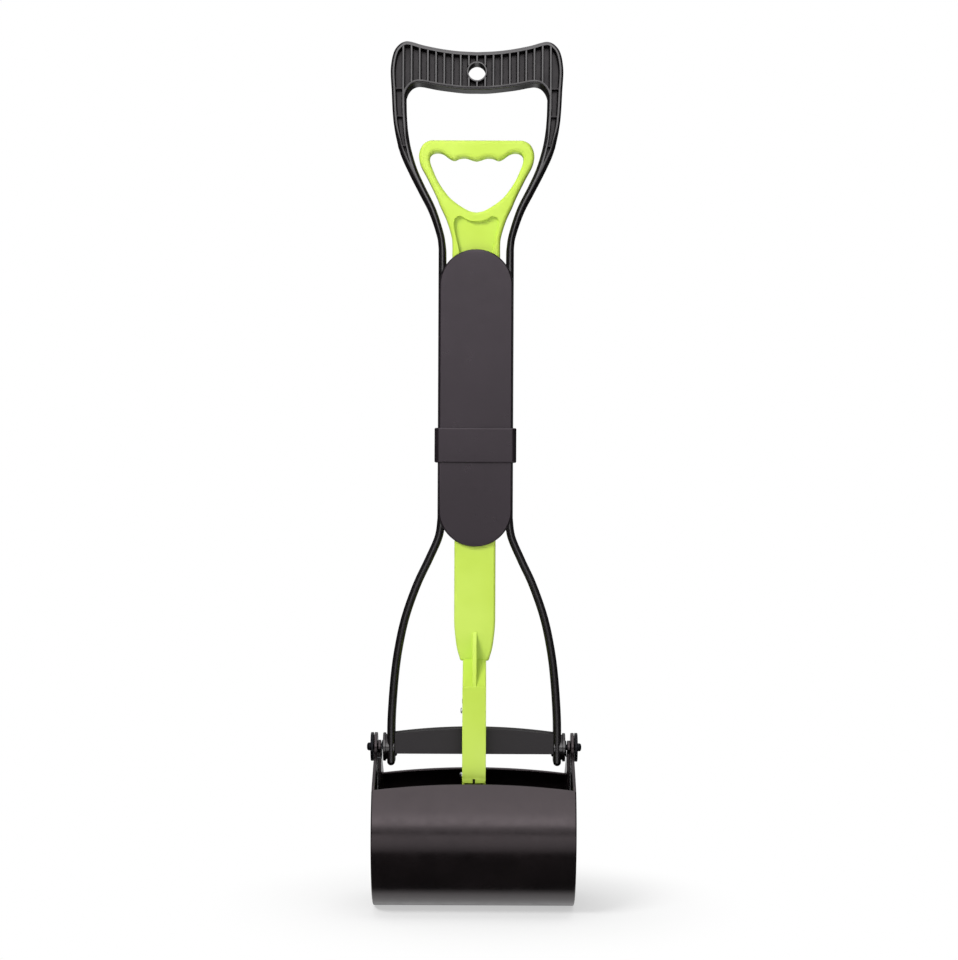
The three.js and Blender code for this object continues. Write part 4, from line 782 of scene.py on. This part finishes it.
# %% Legs
LEG_X, LEG_WIDTH, LEG_FOOT = 57.9, 5.5, -12.4
LEG_TOP = FOLD - LOWER_LENGTH + COVER_HALF - 5.9
LEG_SHARES = [(0, 0), (0.081, 0.055), (0.181, 0.255), (0.2875, 0.487), (0.425, 0.714), (0.559, 0.854),
              (0.694, 0.939), (0.869, 0.995), (1, 1)]
leg_head = HOUSING_HALF - LEG_WIDTH / 2
leg_line = smooth([(leg_head + out * (LEG_X - leg_head), LEG_TOP * (1 - down))
                   for down, out in LEG_SHARES], 60)
leg_left, leg_right = band(leg_line, [LEG_WIDTH] * len(leg_line))
leg_end = FOLD - GAP / 2
leg_tip = arc((LEG_X, LEG_FOOT + LEG_WIDTH / 2), LEG_WIDTH / 2, 180, 360, 12)
leg_outline = ([(leg_left[0].x, leg_end), (leg_right[0].x, leg_end)] + leg_right + leg_tip
               + leg_left[::-1])
knuckle_room = knuckle_pair(OUTER_KNUCKLE, KNUCKLE + GAP, GAP)
leg_cuts = seat_cut(LOWER_LENGTH, -1) + knuckle_room
legs = [carved(part, leg_cuts) for part in both_sides(moulding([leg_outline], FRONT, BACK, 2.4))]
print("legs:", [len(leg.polygons) for leg in legs], "faces")

# %% Crossbar, open at the back
BAR_LOW, BAR_SHOULDER, BAR_ARCH = -4.2, 9.7, 4
BAR_WALL = 2.2
bar_top = [Vector((across * LEG_X, BAR_SHOULDER + BAR_ARCH * (1 - across ** 2)))
           for across in [1 - i / 20 for i in range(41)]]
bar_outline = [Vector((-LEG_X, BAR_LOW)), Vector((LEG_X, BAR_LOW))] + bar_top
crossbar = carved(moulding([bar_outline], -7, 7, 0.35),
                  [moulding([inset(bar_outline, BAR_WALL)], -7 + BAR_WALL, BEYOND, 0)])
bar_ribs = [box((share * LEG_X - 1.1, -6, -3.1), (share * LEG_X + 1.1, 4.8, 11.5), 0.2)
            for share in (-0.5, 0, 0.5)]
print("crossbar:", len(crossbar.polygons), "faces;", len(bar_ribs), "ribs behind it")

# %% Drums for the pivot pins and springs
drum = turned([(53.9, 2.3), (53.9, 5.8), (54.3, 6.4), (55.3, 6.7), (55.3, 8.4), (55.7, 8.8),
               (61.6, 8.8), (61.6, 9.6), (61.9, 9.9), (63.3, 9.9), (63.6, 9.6), (63.6, 5.6),
               (60.5, 5.6), (60.5, 2.3), (53.9, 2.3)], "x", (0, 0), 64)
spring_slot = box((60.5, -0.85, 4.2), (66, 0.85, 9.3))
drum = carved(drum, [spring_slot])
print("drum:", len(drum.polygons), "faces")

# %% Lower frame as one piece
lower_wall, *lower_guides = housing(LOWER_LENGTH, -1, guide=14.75)
lower_wall = carved(lower_wall, [rod_slot(-4.4, 1), PIN_BORE] + knuckle_room)
lower_knuckles = [carved(part, [PIN_BORE]) for part in knuckle_pair(INNER_KNUCKLE, KNUCKLE)]
piece("lower_frame_body",
      [*legs, crossbar, *bar_ribs, *both_sides(drum), lower_wall, *lower_guides, *lower_knuckles],
      black_abs, "black", "frame_bottom", "lower_frame")

# %% [markdown]
# ## Lower rod
# The lower half of the lime rod narrows to a foot with a front and a back shoulder. Each shoulder
# slopes down to a lug that holds a link's top pin, with a thin upright gusset over it.

# %% Rod, shoulders and gussets
FOOT = 62
FOOT_HALF, TAPER, LOWER_ROD_HALF = 10.2, 4.15, 14.35
taper = smooth([(FOOT_HALF + out * TAPER, FOOT + up * 27)
                for out, up in ((0.05, 0.03), (0.55, 0.31), (0.9, 0.73), (1, 1))], 16)
lower_half = ([(0, FOOT - 1.2), (9, FOOT - 1.2), (9.7, FOOT - 0.9), (FOOT_HALF, FOOT - 0.2)] + taper
              + [(LOWER_ROD_HALF, FOLD - GAP / 2), (0, FOLD - GAP / 2)])
lower_rod = moulding([mirror(lower_half)], ROD_FRONT, ROD_BACK, 1.7, rings=4)
fork_room = both_sides(rod(EYE_ROOM, "x", EYE_HALF, FORK_OUTER + GAP, (BACK, FOLD), 32))
lower_rod = carved(lower_rod, fork_room + cells(12.25, FOOT + 30, FOLD - 6.8, 3, ROD_FRONT + 2.3))
TIP_Y, TIP_Z = -32.3, FOOT - 17.2
PIN_Y, PIN_TOP, PIN_LOW = -33, 28.9, -24.5
LINK_BORE = 1.8
beam = moulding([[(0, FOOT), (ROD_FRONT, FOOT), (TIP_Y, TIP_Z), (TIP_Y, TIP_Z - 5.2),
                  (0, FOOT - 5.2)]], -8.1, 8.1, 0.8, "x")
gusset = moulding([[(0, FOOT), (0, FOOT + 18.9), (ROD_FRONT, FOOT + 18.9), (TIP_Y, TIP_Z),
                    (TIP_Y, TIP_Z - 2.6)]], -1.6, 1.6, 0.5, "x")
lug = moulding([arc((PIN_Y, PIN_TOP), 3, 180, 360, 16)
                + [(PIN_Y + 6, TIP_Z), (TIP_Y, TIP_Z - 2.6)]], -5.7, 5.7, 0.5, "x")
lug = carved(lug, [rod(LINK_BORE, "x", -9, 9, (PIN_Y, PIN_TOP))])
front_shoulder = [beam, gusset, lug]
eye_root = box((-EYE_HALF, 4.3, FOLD - EYE), (EYE_HALF, BACK, FOLD - GAP / 2), 0.3)
rod_eye = [carved(part, [PIN_BORE])
           for part in (rod(EYE, "x", -EYE_HALF, EYE_HALF, (BACK, FOLD), 32, 0.3), eye_root)]
piece("lower_rod_body",
      [lower_rod, *front_shoulder, *[mirrored(part, "y") for part in front_shoulder], *rod_eye],
      lime_pp, "lime", "rod_bottom", "lower_rod")

# %% [markdown]
# ## Links and their pins
# Each link is a channel: a flat web in front and two flanges that take the pins. The web leans
# back near its foot, so it is cut across at two heights and the verts below are moved back.

# %% Front link
BEND_TOP, BEND_LOW, BEND = PIN_LOW + 17, PIN_LOW + 8, 2.6
flange_outline = ([(PIN_Y - 4.2, PIN_TOP + 16.2), (PIN_Y - 4.2, BEND_TOP),
                   (PIN_Y - 1.6, BEND_LOW), (PIN_Y - 1.6, PIN_LOW + 0.5)]
                  + arc((PIN_Y, PIN_LOW), 3, 216, 360, 14) + [(PIN_Y + 4.5, PIN_LOW + 34)]
                  + arc((PIN_Y, PIN_TOP), 5.5, 30, 90, 10)
                  + [(PIN_Y - 3.3, PIN_TOP + 5.5), (PIN_Y - 3.3, PIN_TOP + 16.2)])
pin_bores = [rod(LINK_BORE, "x", -12, 12, (PIN_Y, z)) for z in (PIN_TOP, PIN_LOW)]
flange = carved(moulding([flange_outline], 6.1, 8.07, 0.3, "x"), pin_bores)
web_low, web_high = PIN_LOW + 3.7, PIN_TOP + 16.7
web_half = ([(0, web_low + 2.9), (0.45, web_low + 2.9), (0.75, web_low + 2.6), (0.75, web_low)]
            + arc((6.1, web_low + 2), 2, -90, 0, 8) + arc((7.1, web_high - 1), 1, 0, 90, 6)
            + [(0, web_high)])
bm = opened(moulding([mirror(web_half)], PIN_Y - 5.1, PIN_Y - 3.3, 0.4))
for height in (BEND_TOP, BEND_LOW):
    bmesh.ops.bisect_plane(bm, geom=bm.verts[:] + bm.edges[:] + bm.faces[:], dist=0.001,
                           plane_co=(0, 0, height), plane_no=(0, 0, 1))
for vert in bm.verts:
    vert.co.y += BEND * min(max((BEND_TOP - vert.co.z) / (BEND_TOP - BEND_LOW), 0), 1)
front_link = [cleaned(bm)] + both_sides(flange)
piece("front_link_channel", front_link, lime_pp, "lime", "link_front", "front_link")
piece("rear_link_channel", [mirrored(part, "y") for part in front_link], lime_pp, "lime",
      "link_rear", "rear_link")

# %% Headed pins of the links
def link_pin(y, z, length, radius):
    """A pin with a domed head on the left."""
    face = -8.4
    dome = [(face - length, 0), (face - length, radius * 0.55), (face - length * 0.75, radius * 0.85),
            (face - length * 0.4, radius), (face, radius)]
    return turned(dome + [(face, 1.5), (7.8, 1.5), (8.1, 1.2), (8.1, 0)], "x", (y, z), 32)


for side_name, y, head in (("front", PIN_Y, 0.9), ("rear", -PIN_Y, 0.4)):
    piece(f"{side_name}_link_top_pin_turned", [link_pin(y, PIN_TOP, head, 2)], zinc_steel, "steel",
          "rod_bottom", f"{side_name}_link_top_pin")
    piece(f"{side_name}_link_bottom_pin_turned", [link_pin(y, PIN_LOW, 2, 2.4)], zinc_steel, "steel",
          f"link_{side_name}", f"{side_name}_link_bottom_pin")

# %% [markdown]
# ## Jaws
# The bucket is a short drum cut in two down the middle. Each jaw is a curved wall between two
# side plates that rise to an ear round the pivot. The wall starts as a straight line of verts
# that is spun round the drum's axis. Its lip is then arched by sliding every vert along the
# curve, and the sheet gets its thickness and a rounded rim.

# %% Curved wall with an arched lip
JAW_RADIUS, JAW_CENTRE, JAW_WALL = 55, -55, 2.2


def lip_angle(drop):
    """Where the wall ends, as an angle round the drum's axis."""
    return math.pi - math.asin((JAW_RADIUS - drop) / JAW_RADIUS)


def jaw_wall(half, drop, arch):
    """The curved wall of the front jaw."""
    start, end = lip_angle(drop - arch), math.radians(269.8)
    bm = bmesh.new()
    ends = [bm.verts.new((x, JAW_RADIUS * math.cos(start), JAW_CENTRE + JAW_RADIUS * math.sin(start)))
            for x in (-half, half)]
    line = bm.edges.new(ends)
    bmesh.ops.subdivide_edges(bm, edges=[line], cuts=39)
    bmesh.ops.spin(bm, geom=bm.verts[:] + bm.edges[:], cent=(0, 0, JAW_CENTRE), axis=(1, 0, 0),
                   dvec=(0, 0, 0), angle=end - start, steps=56, use_merge=False)
    for vert in bm.verts:
        angle = math.atan2(vert.co.z - JAW_CENTRE, vert.co.y) % math.tau
        lip = lip_angle(drop - arch * (1 - (vert.co.x / half) ** 2))
        angle = lip + (angle - start) / (end - start) * (end - lip)
        vert.co.y = JAW_RADIUS * math.cos(angle)
        vert.co.z = JAW_CENTRE + JAW_RADIUS * math.sin(angle)
    bm.normal_update()
    centre = Vector((0, 0, JAW_CENTRE))
    inwards = [f for f in bm.faces if f.normal.dot(f.calc_center_median() - centre) < 0]
    bmesh.ops.reverse_faces(bm, faces=inwards)
    bmesh.ops.solidify(bm, geom=bm.faces[:], thickness=JAW_WALL)
    bmesh.ops.recalc_face_normals(bm, faces=bm.faces)
    rim = [e for e in bm.edges if len(e.link_faces) == 2 and e.calc_face_angle() > 1]
    bmesh.ops.bevel(bm, geom=rim, offset=0.9, segments=4, profile=0.5, affect="EDGES",
                    material=-1)
    radii = [math.hypot(v.co.y, v.co.z - JAW_CENTRE) for v in bm.verts]
    print(f"jaw wall: radius {min(radii):.1f} to {max(radii):.1f}, {len(bm.faces)} faces")
    return cleaned(bm)


# %% Side plates with their ears
def ear_plate(eye, past, drop, inner, outer):
    """A side plate: the drum's quarter, an eye round the pivot and a sagging edge between them."""
    radius = JAW_RADIUS - JAW_WALL / 2
    corner_angle = math.degrees(lip_angle(drop))
    corner = arc((0, JAW_CENTRE), JAW_RADIUS, corner_angle, corner_angle, 1)[0]
    ear = arc((0, 0), eye, 207, 207, 1)[0]
    bend = Vector(((corner.x + ear.x) / 2, corner.y * 0.55))
    sag = [ear * (1 - t) ** 2 + bend * 2 * t * (1 - t) + corner * t ** 2
           for t in (i / 16 for i in range(1, 16))]
    foot_angle = 270 + math.degrees(math.asin(past / radius))
    outline = (arc((0, JAW_CENTRE), radius, corner_angle, foot_angle, 56)
               + arc((0, 0), eye, -math.degrees(math.acos(past / eye)), 207, 40) + sag)
    return moulding([outline], inner, outer, 0.5, "x")


def jaw_lug():
    """The slotted lug inside the lip that a link's lower pin pulls on."""
    start, end = Vector((PIN_Y, PIN_LOW)), Vector((-30.28, -22.64))
    heading = math.degrees(math.atan2(end.y - start.y, end.x - start.x))

    def slot(radius):
        return (arc(end, radius, heading - 90, heading + 90, 14)
                + arc(start, radius, heading + 90, heading + 270, 14))

    root = moulding([[(-42.3, -21.6), (-49.9, -34.6), (PIN_Y, PIN_LOW - 4.3), (PIN_Y, PIN_LOW + 4.3)]],
                    -0.57, 0.57, 0.15, "x")
    return [moulding([slot(4.35), slot(1.95)], -0.6, 0.6, 0.15, "x"),
            carved(root, [moulding([slot(2.1)], -3, 3, 0, "x")])]


def jaw(half, eye, past, drop, arch):
    """Wall, plates and lug of the jaw in front of the pivot axis."""
    plates = both_sides(ear_plate(eye, past, drop, half - 2.3, half - 0.05))
    bore = rod(2.3, "x", -90, 90, (0, 0))
    return [jaw_wall(half, drop, arch), *[carved(plate, [bore]) for plate in plates], *jaw_lug()]


front_jaw = jaw(half=69.7, eye=10, past=5, drop=24, arch=4)
rear_jaw = [mirrored(part, "y") for part in jaw(half=67.3, eye=4.7, past=0, drop=23.8, arch=4.6)]
piece("front_jaw_shell", front_jaw, jaw_abs, "jaw", "jaw_front", "front_jaw")
piece("rear_jaw_shell", rear_jaw, jaw_abs, "jaw", "jaw_rear", "rear_jaw")

# %% [markdown]
# ## Hinge pins, pivot pins and washers
# The fold pins and the rod's hinge pin are plain dowels with eased ends. The pivot pins have a
# domed head outside a wide washer.

# %% Pins and washers
FOLD_PIN = 1.5
PIN_SPAN = (INNER_KNUCKLE[0], OUTER_KNUCKLE[1])
for side_name, start, end in (("left", -PIN_SPAN[1], -PIN_SPAN[0]), ("right", *PIN_SPAN)):
    piece(f"fold_pin_{side_name}_dowel", [rod(FOLD_PIN, "x", start, end, (BACK, FOLD), 32, 0.3)],
          zinc_steel, "steel", "frame_top", f"fold_pin_{side_name}")
piece("rod_hinge_pin_dowel",
      [rod(FOLD_PIN, "x", -FORK_OUTER, FORK_OUTER, (BACK, FOLD), 32, 0.3)],
      zinc_steel, "steel", "pull", "rod_hinge_pin")
pivot_pin = turned([(56.5, 0), (56.5, 1.6), (56.9, 2), (72.5, 2), (72.5, 2.8), (73.6, 2.8),
                    (74.3, 2.6), (74.8, 2), (75, 1.1), (75, 0)], "x", (0, 0), 48)
washer = turned([(70.2, 2.3), (70.2, 9.8), (70.4, 10), (71.9, 10), (72.2, 9.7), (72.2, 2.3),
                 (70.2, 2.3)], "x", (0, 0), 64)
for side_name, way in (("right", 1), ("left", -1)):
    sides = [pivot_pin, washer] if way > 0 else [mirrored(part, "x") for part in (pivot_pin, washer)]
    piece(f"pivot_pin_{side_name}_domed", sides[:1], black_steel, "dark_steel", "frame_bottom",
          f"pivot_pin_{side_name}")
    piece(f"pivot_washer_{side_name}_disc", sides[1:], black_steel, "dark_steel", "frame_bottom",
          f"pivot_washer_{side_name}")

# %% [markdown]
# ## Torsion springs
# Each jaw is closed by one spring round a pivot pin. The wire is a curve with a round bevel: a
# leg that sits in the drum's slot, two and a quarter curls, and a hook through the jaw's ear.
# The leg sits in the frame and the hook in the jaw; the piece rides on no body and stays where it is
# made.

# %% Spring wires
COIL_START, COIL_END = 61.25, 64.4
COIL_RADIUS, COIL_PITCH, COIL_STEPS = 4.2, 1.4, 24


def spring(way, lean, hook_end):
    """The wire on one side; a lean of 1 takes the hook to the front."""
    path = [Vector((COIL_START, 0, 8.4)), Vector((COIL_START, 0, 5))]
    for i in range(int(2.25 * COIL_STEPS) + 1):
        angle = math.pi / 2 + lean * i * math.tau / COIL_STEPS
        path.append(Vector((COIL_START + COIL_PITCH * i / COIL_STEPS, COIL_RADIUS * math.cos(angle),
                            COIL_RADIUS * math.sin(angle))))
    hook = 10.2 * math.sqrt(0.5)
    path += [Vector((COIL_END, -lean * (hook - 0.6), -hook + 0.6)),
             Vector((COIL_END + 0.3, -lean * hook, -hook)), Vector((hook_end, -lean * hook, -hook))]
    curve = bpy.data.curves.new("wire", "CURVE")
    curve.dimensions = "3D"
    curve.bevel_depth = 0.45
    curve.bevel_resolution = 3
    curve.use_fill_caps = True
    trace(curve, [(p.x * way, p.y, p.z) for p in path], False)
    return cleaned(opened(evaluated(placed("wire", curve))))


for side_name, jaw_name, way, lean, hook_end in (("right", "rear", 1, -1, 67),
                                                 ("left", "front", -1, 1, 69.4)):
    wire = piece(f"torsion_spring_{side_name}_wire", [spring(way, lean, hook_end)], spring_steel,
                 "steel", None, f"torsion_spring_{side_name}")
    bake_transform(wire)

# %% [markdown]
# ## Floor, light and camera
# The photograph is a cut-out on white, lit softly from the upper left. The floor is white and
# keeps the scooper's soft shadow near it, and goes over into plain white farther away. Matt
# surfaces get an even grey-white room and three lamps, which gloss doesn't see. Gloss shows a
# studio instead: a broad soft light above the lens, dark walls at the sides, a white wall high up
# at the back, and a lane of floor in front that glows for gloss alone with painted levels: a dark
# band, a strip of white just under the jaws' front, and painted shade under and behind the jaws
# where their shadow falls. Those are what give the polished jaws a light top, a dark middle and a
# light line at the foot, and the round bars one bright line between dark flanks. The camera stands
# 1.55 m in front, level with the object's middle, with the photograph's viewing angle.

# %% Levels along a line
def levels(tree, value, low, high, stops):
    """A soft run of grey levels over a range, from (place, level) pairs; the levels peak at 1."""
    share = add(tree, "ShaderNodeMapRange", {"Value": value, "From Min": low, "From Max": high})
    made = add(tree, "ShaderNodeValToRGB", {"Fac": share.outputs[0]})
    made.color_ramp.interpolation = "EASE"
    while len(made.color_ramp.elements) < len(stops):
        made.color_ramp.elements.new(0.5)
    for stop, (place, level) in zip(made.color_ramp.elements, stops):
        stop.position = (place - low) / (high - low)
    for stop, (place, level) in zip(made.color_ramp.elements, stops):
        stop.color = (level, level, level, 1)
    return made.outputs["Color"]


# %% Floor
FLOOR_Z = PIVOT_Z - 110.2
GLOSSY_FLOOR = 1.6
floor_material, tree = new_material("white_studio_floor")
rays = add(tree, "ShaderNodeLightPath").outputs
seen = add(tree, "ShaderNodeMath", {0: rays["Is Camera Ray"], 1: rays["Is Transmission Ray"]},
           operation="MAXIMUM")
place = add(tree, "ShaderNodeTexCoord").outputs["Object"]
distance = add(tree, "ShaderNodeVectorMath", {0: place}, operation="LENGTH")
far = add(tree, "ShaderNodeMapRange",
          {"Value": distance.outputs["Value"], "From Min": 0.07, "From Max": 0.2, "To Min": 0.5},
          interpolation_type="SMOOTHSTEP")
white = add(tree, "ShaderNodeMath", {0: seen.outputs[0], 1: far.outputs["Result"]},
            operation="MULTIPLY")
matt = add(tree, "ShaderNodeBsdfDiffuse", {"Color": (0.95, 0.95, 0.95, 1)})
glow = add(tree, "ShaderNodeEmission", {"Color": (1, 1, 1, 1), "Strength": 1.0})
plain = add(tree, "ShaderNodeMixShader", {0: white.outputs[0], 1: matt.outputs[0], 2: glow.outputs[0]})
spot = add(tree, "ShaderNodeSeparateXYZ", {"Vector": place}).outputs
# Painted reflection: levels set along the floor's length, a painted dark band in front, a white strip
# just under the jaws' front, and painted shade under and behind the jaws where their shadow falls.
painted_floor_reflection = levels(tree, spot["Y"], -1.0, 1.0,
                    [(-1.0, 0.15), (-0.6, 0.9), (-0.35, 0.8), (-0.2, 0.65), (-0.15, 0.4),
                     (-0.12, 0.03), (-0.036, 0.03), (-0.031, 0.5), (-0.02, 0.5), (0, 0.03),
                     (0.15, 0.1), (0.3, 0.5), (1.0, 0.3)])
aside = add(tree, "ShaderNodeMath", {0: spot["X"]}, operation="ABSOLUTE").outputs[0]
lane = levels(tree, aside, 0, 1, [(0, 1), (0.16, 1), (0.3, 0.03)])
near = add(tree, "ShaderNodeMath", {0: lane, 1: GLOSSY_FLOOR}, operation="MULTIPLY")
# The floor shows these painted levels as a glow to glossy rays only, so the jaws mirror a painted
# reflection with painted shade in it.
painted_reflection_glow = add(tree, "ShaderNodeEmission", {"Color": painted_floor_reflection, "Strength": near.outputs[0]})
both = add(tree, "ShaderNodeMixShader",
           {0: rays["Is Glossy Ray"], 1: plain.outputs[0], 2: painted_reflection_glow.outputs[0]})
add(tree, "ShaderNodeOutputMaterial", {"Surface": both.outputs[0]})

bm = bmesh.new()
bmesh.ops.create_grid(bm, x_segments=1, y_segments=1, size=8)
floor = placed("studio_floor", closed(bm, "studio_floor"))
floor.location.z = FLOOR_Z / 1000
floor.data.materials.append(floor_material)
print("floor:", len(tree.nodes), "nodes, at", FLOOR_Z, "mm")

# %% Room
GLOSSY_ROOM, MATT_ROOM = 3.1, 0.32
world = bpy.data.worlds.new("white_room")
bpy.context.scene.world = world
world.use_nodes = True
tree = world.node_tree
tree.nodes.clear()
rays = add(tree, "ShaderNodeLightPath").outputs
place = add(tree, "ShaderNodeTexCoord").outputs["Generated"]
way = add(tree, "ShaderNodeSeparateXYZ", {"Vector": place})
aside = add(tree, "ShaderNodeMath", {0: way.outputs["X"]}, operation="ABSOLUTE").outputs[0]
across = levels(tree, aside, 0, 1, [(0, 1), (0.2, 1), (0.36, 0.02)])
up = levels(tree, way.outputs["Z"], -1, 1,
            [(-0.06, 0.5), (0.0, 0.42), (0.06, 0.25), (0.13, 0.65), (0.18, 1), (0.26, 1),
             (0.5, 0.75), (0.9, 0.68)])
ahead = add(tree, "ShaderNodeMath", {0: across, 1: up}, operation="MULTIPLY")
ahead = add(tree, "ShaderNodeMath", {0: ahead.outputs[0], 1: GLOSSY_ROOM}, operation="MULTIPLY")
back_wall = levels(tree, way.outputs["Z"], -1, 1, [(0.25, 0.05), (0.75, 1)])
behind = add(tree, "ShaderNodeMapRange", {"Value": way.outputs["Y"], "From Min": 0.0, "From Max": 0.4},
             interpolation_type="SMOOTHSTEP")
room = add(tree, "ShaderNodeMix", {0: behind.outputs[0], 2: ahead.outputs[0], 3: back_wall},
           data_type="FLOAT")
mirrors = add(tree, "ShaderNodeMath", {0: rays["Is Glossy Ray"], 1: rays["Is Transmission Ray"]},
              operation="MAXIMUM")
level = add(tree, "ShaderNodeMix", {0: mirrors.outputs[0], 2: MATT_ROOM, 3: room.outputs[0]},
            data_type="FLOAT")
level = add(tree, "ShaderNodeMix", {0: rays["Is Camera Ray"], 2: level.outputs[0], 3: 1.0},
            data_type="FLOAT")
sky = add(tree, "ShaderNodeBackground", {"Color": (1, 1, 1, 1), "Strength": level.outputs[0]})
add(tree, "ShaderNodeOutputWorld", {"Surface": sky.outputs[0]})
print("room:", len(tree.nodes), "nodes")


# %% Lamps
def lamp(name, place, aim, size, watts):
    """A soft rectangular lamp that looks at a point."""
    data = bpy.data.lights.new(name, "AREA")
    data.shape = "RECTANGLE"
    data.size, data.size_y = size
    data.energy = watts
    made = placed(name, data)
    made.visible_glossy = False
    made.location = place
    made.rotation_euler = (Vector(aim) - Vector(place)).to_track_quat("-Z", "Y").to_euler()
    print(f"{name}: {watts} W, {size[0]} x {size[1]} m")


lamp("key_softbox", (-0.62, -0.78, 0.45), (0, 0, -0.22), (0.5, 0.45), 11)
lamp("fill_softbox", (1.3, -1.3, 0.1), (0, 0, -0.3), (1.0, 1.0), 2.5)
lamp("top_softbox", (0.0, 0.1, 1.2), (0, 0, -0.3), (1.2, 1.0), 9)

# %% Camera
lens = bpy.data.cameras.new("camera")
lens.sensor_fit = "VERTICAL"
lens.sensor_height = 36
lens.lens = 83
lens.clip_end = 50
camera = placed("camera", lens)
camera.matrix_world = (Matrix.Translation((0.0026, -1.55, -0.2846))
                       @ Matrix.Rotation(math.radians(90), 4, "X")
                       @ Matrix.Rotation(math.radians(0.25), 4, "Z"))
bpy.context.scene.camera = camera
bpy.context.scene.view_settings.view_transform = "Standard"
print("camera:", [round(value, 4) for value in camera.location])
